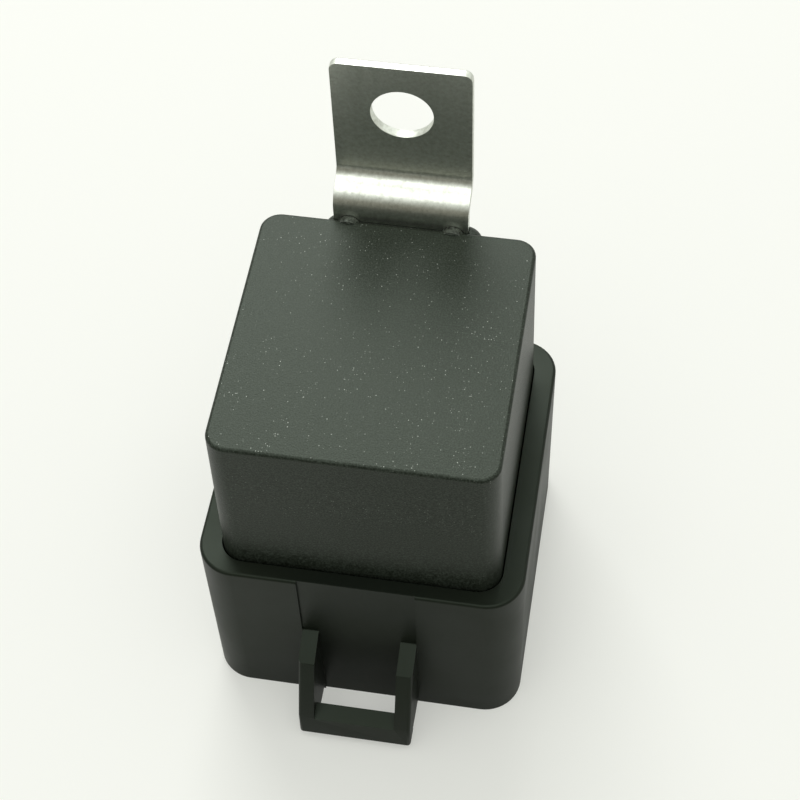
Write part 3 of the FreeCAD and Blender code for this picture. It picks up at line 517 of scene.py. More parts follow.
def add_node(tree: bpy.types.NodeTree, kind: str, inputs: dict[str | int, object] | None = None,
             **settings: object) -> bpy.types.Node:
    """Add a node with its settings, its values and its links.

    Args:
        tree: the tree that gets the node.
        kind: the node's type without its "ShaderNode".
        inputs: its values and links, as feed takes them.
        settings: the node's own settings by name.

    Returns:
        The new node.
    """
    node = tree.nodes.new("ShaderNode" + kind)
    for name, setting in settings.items():
        setattr(node, name, setting)
    feed(tree, node, inputs or {})
    return node


def empty_tree(owner: bpy.types.Material | bpy.types.World) -> bpy.types.NodeTree:
    """Clear the node tree of a material or a world.

    Args:
        owner: the material or the world.

    Returns:
        Its tree, with no node in it.
    """
    owner.use_nodes = True
    owner.node_tree.nodes.clear()
    return owner.node_tree


# Finishes

@dataclass(frozen=True)
class Finish:
    """What every finish has: a name, a slot name, a colour and a surface."""

    name: str
    slot: str
    colour: str
    roughness: float
    metallic: float = 0.0
    ior: float = 1.5
    sheen: str = "ffffff"

    def material(self) -> bpy.types.Material:
        """Build the finish's material, once.

        Returns:
            The material.
        """
        made = bpy.data.materials.get(self.name)
        if made:
            return made
        made = bpy.data.materials.new(self.name)
        tree = empty_tree(made)
        shader = add_node(tree, "BsdfPrincipled", {
            "Base Color": linear(self.colour), "Roughness": self.roughness, "Metallic": self.metallic,
            "IOR": self.ior, "Specular Tint": linear(self.sheen)})
        add_node(tree, "OutputMaterial", {"Surface": shader})
        place = add_node(tree, "TexCoord").outputs["Object"]
        feed(tree, shader, self.pattern(tree, place))
        return made

    def pattern(self, tree: bpy.types.NodeTree, place: bpy.types.NodeSocket) -> dict[str, object]:
        """Add the finish's own changes of colour, gloss and relief.

        Args:
            tree: the material's node tree.
            place: the place on the piece, in metres.

        Returns:
            What the shader's inputs get, by name.
        """
        raise NotImplementedError


@dataclass(frozen=True)
class ErodedPlastic(Finish):
    """Glass-filled PBT moulded in a spark-eroded tool: matt and finely pitted, with glints of the glass
    painted into its colour.
    """

    pale: str = "343a33"
    # The real pits are too fine to show, so they are drawn as coarse as this
    grit: float = 0.17
    grit_roughness: float = 0.6
    pit_level: float = 0.42
    peak_level: float = 0.66
    depth: float = 0.028
    gloss_change: float = 0.06
    painted_glint: str = "c4c9c0"
    # The ends of the glass fibres are too fine as well, so each painted glint, a pale spot in the colour
    # that stands for their highlight, is drawn with this radius
    painted_glint_size: float = 0.05
    painted_glint_pitch: float = 0.24
    painted_glint_fading: float = 5.0
    # Cells with a chance under the limit get no painted glint. The limit is high in a quiet patch of the
    # surface
    quiet_limit: float = 0.97
    busy_limit: float = 0.25
    patch: float = 8.0
    quiet_level: float = 0.36
    busy_level: float = 0.64
    # Walls get fewer painted glints than the top, by how far their normal is from upright, since the top
    # faces the lamps
    wall_glint_share: float = 0.3
    wall_normal: float = 0.2
    top_normal: float = 0.9

    def pattern(self, tree: bpy.types.NodeTree, place: bpy.types.NodeSocket) -> dict[str, object]:
        """Pit the surface, cloud its colour a little and paint pale glints into it as highlights.

        Args:
            tree: the material's node tree.
            place: the place on the piece, in metres.

        Returns:
            What the shader's inputs get, by name.
        """
        grit = add_node(tree, "TexNoise", {"Vector": place, "Scale": per_mm(self.grit),
                                           "Roughness": self.grit_roughness})
        height = add_node(tree, "MapRange", {"Value": grit, "From Min": self.pit_level,
                                             "From Max": self.peak_level})
        tone = add_node(tree, "Mix", {0: height, 6: linear(self.colour), 7: linear(self.pale)},
                        data_type="RGBA").outputs[2]
        # Painted highlights: pale spots mixed into the colour where light would glint, fewer on the walls
        # than on the top
        cells = add_node(tree, "TexVoronoi", {"Vector": place, "Scale": per_mm(self.painted_glint_pitch)})
        close = add_node(tree, "Math", {0: cells.outputs["Distance"],
                                        1: self.painted_glint_size / self.painted_glint_pitch}, operation="LESS_THAN")
        chance = add_node(tree, "SeparateColor", {0: cells.outputs["Color"]})
        patch = add_node(tree, "TexNoise", {"Vector": place, "Scale": per_mm(self.patch)})
        limit = add_node(tree, "MapRange", {
            "Value": patch, "From Min": self.quiet_level, "From Max": self.busy_level,
            "To Min": self.quiet_limit, "To Max": self.busy_limit})
        some = add_node(tree, "Math", {0: chance.outputs[0], 1: limit}, operation="GREATER_THAN")
        bright = add_node(tree, "Math", {0: chance.outputs[1], 1: self.painted_glint_fading}, operation="POWER")
        normal = add_node(tree, "SeparateXYZ", {0: add_node(tree, "NewGeometry").outputs["Normal"]})
        upward = add_node(tree, "MapRange", {
            "Value": normal.outputs["Z"], "From Min": self.wall_normal, "From Max": self.top_normal,
            "To Min": self.wall_glint_share})
        painted_glints = close
        for share in (some, bright, upward):
            painted_glints = add_node(tree, "Math", {0: painted_glints, 1: share}, operation="MULTIPLY")
        tone = add_node(tree, "Mix", {0: painted_glints, 6: tone, 7: linear(self.painted_glint)},
                        data_type="RGBA").outputs[2]
        gloss = add_node(tree, "MapRange", {
            "Value": grit, **MOST, "To Min": self.roughness - self.gloss_change,
            "To Max": self.roughness + self.gloss_change})
        relief = add_node(tree, "Bump", {"Height": grit, "Distance": self.depth * MM, "Strength": 1.0})
        return {"Base Color": tone, "Roughness": gloss, "Normal": relief}


@dataclass(frozen=True)
class SmoothPlastic(Finish):
    """Plastic moulded in a fine-ground tool: an even satin with slight flow marks."""

    # The paler tone of the flow marks. On the scraped ribs it is a painted highlight
    pale: str = "13170f"
    flow: float = 9.0
    gloss_change: float = 0.05
    # The grinding's own marks are too fine to show, so they are drawn as coarse as this
    grain: float = 0.35
    depth: float = 0.004

    def pattern(self, tree: bpy.types.NodeTree, place: bpy.types.NodeSocket) -> dict[str, object]:
        """Cloud the colour and the gloss, and give the surface a faint grain.

        Args:
            tree: the material's node tree.
            place: the place on the piece, in metres.

        Returns:
            What the shader's inputs get, by name.
        """
        cloud = add_node(tree, "TexNoise", {"Vector": place, "Scale": per_mm(self.flow), "Detail": 3.0})
        grain = add_node(tree, "TexNoise", {"Vector": place, "Scale": per_mm(self.grain), **FINE})
        share = add_node(tree, "MapRange", {"Value": cloud, **MOST})
        tone = add_node(tree, "Mix", {0: share, 6: linear(self.colour), 7: linear(self.pale)},
                        data_type="RGBA").outputs[2]
        gloss = add_node(tree, "MapRange", {
            "Value": cloud, **MOST, "To Min": self.roughness - self.gloss_change,
            "To Max": self.roughness + self.gloss_change})
        relief = add_node(tree, "Bump", {"Height": grain, "Distance": self.depth * MM, "Strength": 1.0})
        return {"Base Color": tone, "Roughness": gloss, "Normal": relief}


@dataclass(frozen=True)
class RolledMetal(Finish):
    """Rolled and plated sheet: a faint grain along the rolling, and small changes of gloss."""

    dull: str = "9a9a92"
    # The rolling's lines are too fine to show, so they are drawn as coarse as this
    grain: float = 0.3
    grain_gloss: float = 0.02
    mottle: float = 4.0
    least_gloss: float = -0.02
    most_gloss: float = 0.04
    along: Point = (1.0, 1.0, 0.03)

    def pattern(self, tree: bpy.types.NodeTree, place: bpy.types.NodeSocket) -> dict[str, object]:
        """Stretch a fine noise along the sheet for its grain, and mottle the plating.

        Args:
            tree: the material's node tree.
            place: the place on the piece, in metres.

        Returns:
            What the shader's inputs get, by name.
        """
        stretched = add_node(tree, "Mapping", {"Vector": place, "Scale": self.along})
        grain = add_node(tree, "TexNoise", {"Vector": stretched, "Scale": per_mm(self.grain), **FINE})
        mottle = add_node(tree, "TexNoise", {"Vector": place, "Scale": per_mm(self.mottle), **FINE})
        share = add_node(tree, "MapRange", {"Value": mottle, **MOST})
        tone = add_node(tree, "Mix", {0: share, 6: linear(self.colour), 7: linear(self.dull)},
                        data_type="RGBA").outputs[2]
        lines = add_node(tree, "MapRange", {"Value": grain, **MOST, "To Min": -self.grain_gloss,
                                            "To Max": self.grain_gloss})
        clouds = add_node(tree, "MapRange", {
            "Value": mottle, **MOST, "To Min": self.roughness + self.least_gloss,
            "To Max": self.roughness + self.most_gloss})
        gloss = add_node(tree, "Math", {0: lines, 1: clouds}, operation="ADD")
        return {"Base Color": tone, "Roughness": gloss}


@dataclass(frozen=True)
class Cast(Finish):
    """A poured or fired surface: soft waves and a few specks."""

    pale: str = "2a2a28"
    speck: float = 0.3
    wave: float = 3.5
    depth: float = 0.03

    def pattern(self, tree: bpy.types.NodeTree, place: bpy.types.NodeSocket) -> dict[str, object]:
        """Wave the surface and fleck its colour.

        Args:
            tree: the material's node tree.
            place: the place on the piece, in metres.

        Returns:
            What the shader's inputs get, by name.
        """
        wave = add_node(tree, "TexNoise", {"Vector": place, "Scale": per_mm(self.wave)})
        speck = add_node(tree, "TexNoise", {"Vector": place, "Scale": per_mm(self.speck)})
        share = add_node(tree, "MapRange", {"Value": speck, **MOST})
        tone = add_node(tree, "Mix", {0: share, 6: linear(self.colour), 7: linear(self.pale)},
                        data_type="RGBA").outputs[2]
        relief = add_node(tree, "Bump", {"Height": wave, "Distance": self.depth * MM, "Strength": 1.0})
        return {"Base Color": tone, "Normal": relief}


# PBT from a spark-eroded tool: near black with a cool green sheen, matt and finely pitted, with painted
# glints
CASE_PLASTIC = ErodedPlastic("eroded_pbt_moulded", "case_plastic", "13170f", 0.37, ior=1.36,
                             sheen="eeffec")
# The same PBT where metal was forced past it: the pits are smeared flat, so it is smoother, and its pale
# streaks are painted highlights
SCRAPED_PLASTIC_PAINTED_SHINE = SmoothPlastic("case_pbt_scraped", "case_plastic", "0f120e", 0.24, sheen="f6fff3",
                                pale="60665d", flow=0.35, depth=0.02)
# Nylon from a fine-ground tool: as dark as the case, but smooth, so light runs along it evenly
SKIRT_PLASTIC = SmoothPlastic("satin_nylon_moulded", "skirt_plastic", "0f130e", 0.4, ior=1.33,
                              sheen="ebffe8")
# Zinc on rolled steel: a cool grey mirror, blurred and faintly mottled, that takes the room's tone.
# Its crystals are too fine to show, so the mottling is drawn coarser
STRIP_ZINC = RolledMetal("zinc_plated_steel_rolled", "plated_steel", "f0f4eb", 0.33, 0.98,
                         dull="cbcfc4", mottle=0.45)
# Plain PBT: a dark grey plate with little shine
BASE_PLASTIC = SmoothPlastic("base_pbt_moulded", "base_plastic", "23261f", 0.5)
# Cast epoxy: black and glossy, with the slow waves of a poured surface
RESIN = Cast("epoxy_resin_cast", "resin", "161614", 0.22)
# Tin on stamped brass: a pale, slightly warm grey with a dull bloom
TINNED = RolledMetal("tinned_brass_stamped", "tinned_brass", "cfcdc4", 0.34, 1.0, dull="b3b1a8")
# Nickel on stamped iron: a darker and yellower grey than tin, with its grain across the coil
IRON = RolledMetal("nickel_plated_iron_stamped", "magnet_steel", "b9b4a6", 0.36, 1.0, dull="9c978a",
                   along=(0.03, 1.0, 1.0))
# Undyed nylon: a cream that hardly shines
BOBBIN_PLASTIC = SmoothPlastic("bobbin_nylon_moulded", "bobbin_plastic", "cfc9b8", 0.5, pale="dbd6c8")
# Enamelled copper wire: red brown, with a line of light on each turn
COPPER = RolledMetal("enamelled_copper_wound", "enamelled_copper", "b8642f", 0.33, 1.0, dull="96491f")
# Rolled bronze: a thin brown-gold leaf with its grain along its length
BRONZE = RolledMetal("spring_bronze_rolled", "spring_bronze", "c58a55", 0.33, 1.0, dull="a9713f",
                     along=(1.0, 0.03, 1.0))
# Headed silver: the whitest and brightest of the metals
SILVER = RolledMetal("contact_silver_headed", "contact_silver", "dedcd6", 0.32, 1.0, dull="c2c0ba")
# Headed brass: yellow buttons on the bronze
BRASS = RolledMetal("rivet_brass_headed", "rivet_brass", "cfae66", 0.33, 1.0, dull="b3924d")
# Fired lacquer on ceramic: a buff body with a soft uneven shine
CERAMIC = Cast("resistor_lacquer_fired", "resistor_ceramic", "b9b39c", 0.4, pale="c8c3ae", depth=0.01)


def dress(piece: bpy.types.Object, finish: Finish, node: str) -> None:
    """Give a piece its finish and hide the CAD node that it stands for.

    Args:
        piece: the piece.
        finish: its finish.
        node: the CAD node.
    """
    piece.data.materials.clear()
    piece.data.materials.append(finish.material())
    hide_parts(node)
    LOG.info("%s: %d faces of %s", piece.name, len(piece.data.polygons), finish.name)


def fit(piece: bpy.types.Object, body: Body, finish: Finish, node: str) -> None:
    """Put a piece on its body and dress it."""
    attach(piece, body.value)
    dress(piece, finish, node)


def edged(node: str, name: str, body: Body, finish: Finish, edge: float, segments: int = 2) -> None:
    """Make a piece in a CAD node's own shape, with its edges rounded as the real one's are.

    Args:
        node: the CAD node.
        name: the piece's name.
        body: the body that it rides on.
        finish: its finish.
        edge: how wide the rounding of its edges is.
        segments: straight steps in the rounding.
    """
    piece = copy_of(node, name)
    soften(piece, edge, segments)
    fit(piece, body, finish, node)


# Case

@dataclass
class Case:
    """The sealed cube case with the strip's pocket, its crush ribs and its snap lugs."""

    width: float = 28.5
    depth: float = 29.6
    top: float = 43.5
    rim: float = 16.4
    draft: float = 0.8
    corner: float = 2.1
    wall: float = 1.0
    roof: float = 1.4
    edge: float = 0.38
    soft_edge: float = 0.05
    ledge: float = 23.5
    pocket_left: float = -8.0
    pocket_right: float = 8.6
    pocket_back: float = 16.76
    pocket_top: float = 43.0
    pocket_corner: float = 2.0
    pocket_edge: float = 1.2
    slot_half: float = 7.06
    slot_front: float = 15.09
    slot_back: float = 16.21
    slot_floor: float = 27.2
    rib_radius: float = 1.2
    rib_place: float = 5.4
    rib_sink: float = 0.4
    rib_slack: float = 0.01
    lug_half: float = 3.0
    lug_root: float = 14.0
    lug_face: float = 15.05
    lug_foot: float = 19.8
    lug_low: float = 21.2
    lug_top: float = 21.6

    def shell(self) -> bpy.types.Object:
        """Make the cube with its draft and its round edges.

        Returns:
            The cube, still solid.
        """
        height = self.top - self.rim
        spread = height * math.tan(math.radians(self.draft))
        half_x, half_y = self.width / 2 + spread, self.depth / 2 + spread
        solid = Solid()
        roof = solid.pad(half_x, half_y, self.corner + spread, self.rim, segments=10)
        solid.rise(roof, spread, height - self.edge)
        solid.round_over(roof, self.edge)
        return solid.finish("case")

    def hollow(self) -> Solid:
        """Make the room for the relay's works.

        Returns:
            The room as a solid to cut, open below.
        """
        solid = Solid()
        floor = solid.pad(self.width / 2 - self.wall, self.depth / 2 - self.wall,
                          self.corner - self.wall, self.rim - self.wall)
        solid.pull(floor, (0, 0, self.top - self.rim - self.roof + self.wall))
        return solid

    def pocket(self) -> Solid:
        """Make the bulge on the rear wall that holds the strip.

        Returns:
            The bulge, its rim well rounded.
        """
        inner = self.depth / 2 - 2 * self.pocket_edge
        solid = Solid()
        spots = [(self.pocket_left, inner), (self.pocket_right, inner),
                 (self.pocket_right, self.pocket_back), (self.pocket_left, self.pocket_back)]
        rounds = {2: self.pocket_corner, 3: self.pocket_corner}
        face = solid.outline(spots, level=self.ledge, rounds=rounds, segments=10)
        top = solid.pull(face, (0, 0, self.pocket_top - self.ledge - self.pocket_edge))
        solid.round_over(top, self.pocket_edge, steps=6)
        return solid

    def ribs(self) -> list[Solid]:
        """Make the two half-round ribs that press on the strip's front.

        Returns:
            The ribs, whole.
        """
        front = self.depth / 2 - self.wall / 2
        length = self.slot_front - front
        middle, level = front + length / 2, self.pocket_top - self.rib_sink
        return [rod(self.rib_radius, length, (side * self.rib_place, middle, level), segments=40)
                for side in (-1, 1)]

    def slot(self) -> Solid:
        """The slot that the strip stands in."""
        return box((-self.slot_half, self.slot_front, self.slot_floor),
                   (self.slot_half, self.slot_back, self.top + 2 * self.rib_radius))

    def shine_scraped_ribs(self, piece: bpy.types.Object) -> None:
        """Give the ribs, which the strip scraped when it was pushed in, a smoother finish with painted
        highlight streaks.

        Args:
            piece: the finished case.
        """
        # The ribs' second material has pale painted highlights in its colour
        piece.data.materials.append(SCRAPED_PLASTIC_PAINTED_SHINE.material())
        front = self.depth / 2 - self.wall / 2 - self.rib_slack
        for face in piece.data.polygons:
            middle = face.center / MM
            beside = abs(abs(middle.x) - self.rib_place)
            if middle.z > self.pocket_top and middle.y > front and beside < self.rib_radius:
                face.material_index = 1

    def lugs(self) -> list[Solid]:
        """Make the two snap lugs under the skirt's ledge.

        Returns:
            The lugs.
        """
        made = []
        for side in (-1, 1):
            root, tip = side * self.lug_root, side * self.lug_face
            solid = Solid()
            spots = [(root, self.lug_foot), (tip, self.lug_low), (tip, self.lug_top),
                     (root, self.lug_top)]
            face = solid.outline(spots, Plane.XZ, -self.lug_half)
            solid.pull(face, (0, 2 * self.lug_half, 0))
            made.append(solid)
        return made

    def build(self) -> None:
        """Make the case and dress it."""
        piece = self.shell()
        join(piece, Join.FUSE, [self.pocket(), *self.ribs()])
        join(piece, Join.CUT, [self.slot(), self.hollow()])
        join(piece, Join.FUSE, self.lugs())
        soften(piece, self.soft_edge)
        fit(piece, Body.HOUSING, CASE_PLASTIC, "cover")
        self.shine_scraped_ribs(piece)


# Skirt

@dataclass
class Skirt:
    """The connector skirt with its ledge, panel, latch loop and seat ribs."""

    half: float = 16.998
    height: float = 23.5
    corner: float = 4.0
    wall: float = 1.6
    ledge: float = 1.8
    edge: float = 0.35
    mouth_edge: float = 0.15
    soft_edge: float = 0.08
    opening_x: float = 14.57
    opening_y: float = 15.179
    opening_corner: float = 2.48
    lip: float = 0.12
    panel_step: float = 0.25
    latch_half: float = 6.15
    latch_arm: float = 1.75
    latch_top: float = 13.2
    latch_foot: float = 1.5
    latch_edge: float = 0.4
    shoulder: float = 3.0
    shoulder_drop: float = 1.6
    shoulder_edge: float = 0.25
    bar_reach: float = 5.75
    bar_lean: float = 0.2
    bar_thickness: float = 2.0
    bar_top: float = 4.3
    bar_foot: float = 1.1
    bar_tilt: float = 0.3
    seat_near: float = 13.7
    seat_far: float = 16.2
    seat_place: float = 8.0
    seat_half: float = 0.6
    seat_foot: float = 6.0
    seat_top: float = 16.4

    def shell(self) -> bpy.types.Object:
        """Make the open box with its round edges, its hollow and the opening for the case.

        Returns:
            The box.
        """
        solid = Solid()
        top = solid.pad(self.half, self.half, self.corner, self.mouth_edge, segments=12)
        top = solid.pull(top, (0, 0, self.height - self.edge - self.mouth_edge))
        solid.round_over(top, self.edge, steps=5)
        foot = min(solid.mesh.faces, key=lambda face: face.calc_center_median().z)
        solid.round_over(foot, self.mouth_edge)
        piece = solid.finish("connector_skirt")
        hollow = Solid()
        inner = self.half - self.wall
        floor = hollow.pad(inner, inner, self.corner - self.wall, -self.wall, segments=10)
        hollow.pull(floor, (0, 0, self.height - self.ledge + self.wall))
        opening = Solid()
        sill = opening.pad(self.opening_x, self.opening_y, self.opening_corner,
                           self.height - 2 * self.ledge, segments=12)
        sill = opening.pull(sill, (0, 0, 2 * self.ledge - self.lip))
        opening.rise(sill, -self.lip, self.lip)
        opening.pull(sill, (0, 0, self.ledge))
        join(piece, Join.CUT, [hollow, opening])
        return piece

    def block(self, front: float, bar: float) -> bpy.types.Object:
        """Make the latch loop's outer form, with its round edges.

        Args:
            front: Y of the skirt's front.
            bar: Y of the bar's front.

        Returns:
            The loop before its window is cut.
        """
        shoulder = self.latch_top - self.shoulder_drop
        solid = Solid()
        face = solid.outline([
            (front + self.wall / 2, self.latch_foot),
            (front + self.wall / 2, self.latch_top),
            (front, self.latch_top),
            (front - self.shoulder, shoulder),
            (front - self.bar_reach, self.bar_top),
            (bar, self.bar_foot),
            (bar + self.bar_thickness, self.bar_foot),
            (bar + self.bar_thickness, self.latch_foot),
        ], Plane.YZ, -self.latch_half)
        solid.pull(face, (2 * self.latch_half, 0, 0))
        limit = (front - self.shoulder) * MM
        low = (self.latch_foot + self.latch_edge) * MM

        def outer(edge: bmesh.types.BMEdge) -> bool:
            """Whether an edge runs down the front of an arm."""
            middle = (edge.verts[0].co + edge.verts[1].co) / 2
            flat = abs(edge.verts[0].co.x - edge.verts[1].co.x) < TOUCH
            return flat and middle.y < limit and middle.z > low

        def at_shoulder(edge: bmesh.types.BMEdge) -> bool:
            """Whether an edge runs across the shoulder."""
            return all(abs(vert.co.z - shoulder * MM) < TOUCH for vert in edge.verts)

        solid.round_edges(outer, self.latch_edge, segments=5)
        solid.round_edges(at_shoulder, self.shoulder_edge, segments=3)
        return solid.finish("latch")

    def loop(self) -> bpy.types.Object:
        """Make the latch loop.

        Returns:
            Two arms and a bar, cut from one block.
        """
        front = -self.half
        bar = front - self.bar_reach - self.bar_lean
        piece = self.block(front, bar)
        gap = self.latch_half - self.latch_arm
        window = Solid()
        behind, ahead, over = bar + self.bar_thickness, bar - self.wall, self.latch_top + self.wall
        low, high = self.bar_top - self.bar_tilt, self.bar_top + self.bar_tilt
        spots = [(front, 0), (front, over), (ahead, over), (ahead, low), (bar, low), (behind, high),
                 (behind, 0)]
        face = window.outline(spots, Plane.YZ, -gap)
        window.pull(face, (2 * gap, 0, 0))
        join(piece, Join.CUT, [window])
        return piece

    def seats(self) -> list[Solid]:
        """Make the four ribs inside that the case's rim stands on.

        Returns:
            The ribs.
        """
        made = []
        for side in (-1, 1):
            near, far = sorted((side * self.seat_near, side * self.seat_far))
            for place in (-self.seat_place, self.seat_place):
                made.append(box((near, place - self.seat_half, self.seat_foot),
                                (far, place + self.seat_half, self.seat_top)))
        return made

    def panel(self) -> Solid:
        """Make the shallow recess above the latch, which runs on down between its arms.

        Returns:
            The recess as a solid to cut.
        """
        wide, narrow = self.latch_half, self.latch_half - self.latch_arm
        over = self.height + self.wall
        solid = Solid()
        face = solid.outline([
            (-narrow, -self.wall), (narrow, -self.wall), (narrow, self.latch_top),
            (wide, self.latch_top), (wide, over), (-wide, over), (-wide, self.latch_top),
            (-narrow, self.latch_top),
        ], Plane.XZ, self.panel_step - self.half)
        solid.pull(face, (0, -self.panel_step - self.wall / 2, 0))
        return solid

    def build(self) -> None:
        """Make the skirt and dress it."""
        piece = self.shell()
        join(piece, Join.FUSE, [self.loop(), *self.seats()])
        join(piece, Join.CUT, [self.panel()])
        soften(piece, self.soft_edge)
        fit(piece, Body.HOUSING, SKIRT_PLASTIC, "skirt")


# Mounting strip

@dataclass
class Strip:
    """The joggled steel strip with its bolt hole."""

    half: float = 7.0
    sheet: float = 1.0
    front: float = 15.15
    foot: float = 27.5
    bend_start: float = 44.4
    bend_inside: float = 1.5
    bend_steps: int = 14
    joggle: float = 3.0
    top: float = 62.4
    corner: float = 0.9
    hole: float = 6.3
    hole_drop: float = 6.2
    rolled_edge: float = 0.3
    sheared_edge: float = 0.04

    def bent(self) -> Solid:
        """Sweep the sheet's section up from its foot, through two bends, to its top.

        Returns:
            The strip with sharp corners.
        """
        outside = self.bend_inside + self.sheet
        lean = math.degrees(math.acos(1 - self.joggle / (self.bend_inside + outside)))
        solid = Solid()
        face = solid.pad(self.half, self.sheet / 2, 0, self.foot, (0.0, self.front + self.sheet / 2))
        face = solid.pull(face, (0, 0, self.bend_start - self.foot))
        first = (0, self.front + outside, self.bend_start)
        face = solid.swing(face, first, (1, 0, 0), -lean, self.bend_steps)
        centre = face.calc_center_median() / MM
        turn = math.radians(lean)
        reach = self.bend_inside + self.sheet / 2
        second = (0, centre.y - reach * math.cos(turn), centre.z + reach * math.sin(turn))
        face = solid.swing(face, second, (1, 0, 0), lean, self.bend_steps)
        solid.pull(face, (0, 0, self.top - face.calc_center_median().z / MM))
        return solid

    def trim(self, solid: Solid) -> None:
        """Round the strip's corners, and its top edge where the shears rolled it over.

        Args:
            solid: the bent strip.
        """
        limits = [self.foot * MM, self.top * MM]
        back = (self.front + self.joggle + self.sheet) * MM
        end = (self.top - self.corner) * MM

        def corner(edge: bmesh.types.BMEdge) -> bool:
            """Whether an edge goes through the sheet at the strip's foot or top."""
            ends = [vert.co for vert in edge.verts]
            level = any(abs(point.z - limit) < TOUCH for limit in limits for point in ends)
            return level and abs(ends[0].x - ends[1].x) < TOUCH and abs(ends[0].z - ends[1].z) < TOUCH

        def rolled(edge: bmesh.types.BMEdge) -> bool:
            """Whether an edge is on the back, from the round corners up."""
            return all(abs(vert.co.y - back) < TOUCH and vert.co.z > end - TOUCH for vert in edge.verts)

        solid.round_edges(corner, self.corner, segments=6)
        solid.round_edges(rolled, self.rolled_edge, segments=4)

    def build(self) -> None:
        """Bend the strip, trim it, punch its hole and dress it."""
        solid = self.bent()
        self.trim(solid)
        piece = solid.finish("mounting_strip")
        plate = self.front + self.joggle + self.sheet / 2
        punch = rod(self.hole / 2, 3 * self.sheet, (0, plate, self.top - self.hole_drop), segments=64)
        join(piece, Join.CUT, [punch])
        soften(piece, self.sheared_edge)
        fit(piece, Body.HOUSING, STRIP_ZINC, "mounting_bracket")


# Sealed inside

@dataclass
class Terminals:
    """The five stamped blades in their base plate, and the resin that seals them."""

    stamped_edge: float = 0.08
    moulded_edge: float = 0.15
    resin_edge: float = 0.01

    def build(self) -> None:
        """Round each stamping's edges, and the base's and the resin's."""
        for node in ("common_terminal", "open_terminal", "closed_terminal", "coil_terminal_left",
                     "coil_terminal_right"):
            edged(node, f"{node}_blade", Body.HOUSING, TINNED, self.stamped_edge)
        edged("terminal_base", "base_plate", Body.HOUSING, BASE_PLASTIC, self.moulded_edge)
        edged("sealing_resin", "resin_layer", Body.HOUSING, RESIN, self.resin_edge)


@dataclass
class Magnet:
    """The yoke with its turned core, the bobbin and the coil that is wound on it."""

    along: float = 1.2
    low: float = 23.45
    high: float = 34.55
    inside: float = 4.15
    outside: float = 7.4
    # The real wire is too fine to show, so each turn is drawn as wide as this
    wire: float = 0.37
    bulge: float = 0.12
    lead_radius: float = 0.2
    lead_end: float = 7.95
    lead_corner: Spot = (3.0, -6.2)
    lead_level: float = 24.2
    lead_tail: float = -2.4
    lead_bend: float = 1.2
    yoke_edge: float = 0.1
    core_edge: float = 0.12
    bobbin_edge: float = 0.15

    def winding(self) -> bpy.types.Object:
        """Wind the coil, its outer layer showing turn by turn, and add its two leads.

        Returns:
            The coil.
        """
        turns = round((self.high - self.low) / self.wire)
        pitch = (self.high - self.low) / turns
        spots = [(self.inside, self.low)]
        for turn in range(turns):
            for share in (0.0, 0.25, 0.5, 0.75):
                depth = self.bulge * (1 - math.sin(math.pi * share))
                spots.append((self.outside - depth, self.low + (turn + share) * pitch))
        spots += [(self.outside - self.bulge, self.high), (self.inside, self.high), spots[0]]
        piece = Solid().lathe(spots, steps=56).move(y=self.along).finish("coil_turns")
        across, along = self.lead_corner
        leads = [Solid().lead(self.lead_radius, (side * self.lead_end, along, self.lead_level),
                              (side * across, along), self.lead_tail, self.lead_bend)
                 for side in (-1, 1)]
        join(piece, Join.FUSE, leads)
        return piece

    def build(self) -> None:
        """Wind the coil, and round the edges of the yoke, the core and the bobbin."""
        piece = self.winding()
        soften(piece, 0)
        fit(piece, Body.HOUSING, COPPER, "coil_winding")
        edged("magnet_yoke", "yoke", Body.HOUSING, IRON, self.yoke_edge)
        edged("pole_core", "core", Body.HOUSING, IRON, self.core_edge)
        edged("coil_bobbin", "bobbin", Body.HOUSING, BOBBIN_PLASTIC, self.bobbin_edge)


@dataclass
class Contacts:
    """The armature with its contact spring, the three contacts and the rivets that hold them."""

    fixed_end: Point = (0.0, 11.7, 36.0)
    moving_end: Point = (0.0, 8.0, 38.6)
    plate_edge: float = 0.1
    leaf_edge: float = 0.05
    contact_edge: float = 0.14
    rivet_edge: float = 0.22

    def spring(self) -> None:
        """Make the leaf that is riveted to the yoke and to the armature."""
        piece = copy_of("contact_spring", "spring_leaf")
        soften(piece, self.leaf_edge)
        dress(piece, BRONZE, "contact_spring")
        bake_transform(piece)

    def build(self) -> None:
        """Make the moving set and the contacts that it meets."""
        edged("armature", "armature_plate", Body.ARMATURE, IRON, self.plate_edge)
        self.spring()
        edged("moving_contact", "contact_rivet", Body.ARMATURE, SILVER, self.contact_edge, segments=3)
        edged("armature_rivets", "leaf_rivets", Body.ARMATURE, BRASS, self.rivet_edge, segments=3)
        for node in ("fixed_contact_open", "fixed_contact_closed"):
            edged(node, f"{node}_rivet", Body.HOUSING, SILVER, self.contact_edge, segments=3)
        edged("yoke_rivets", "leg_rivets", Body.HOUSING, BRASS, self.rivet_edge, segments=3)


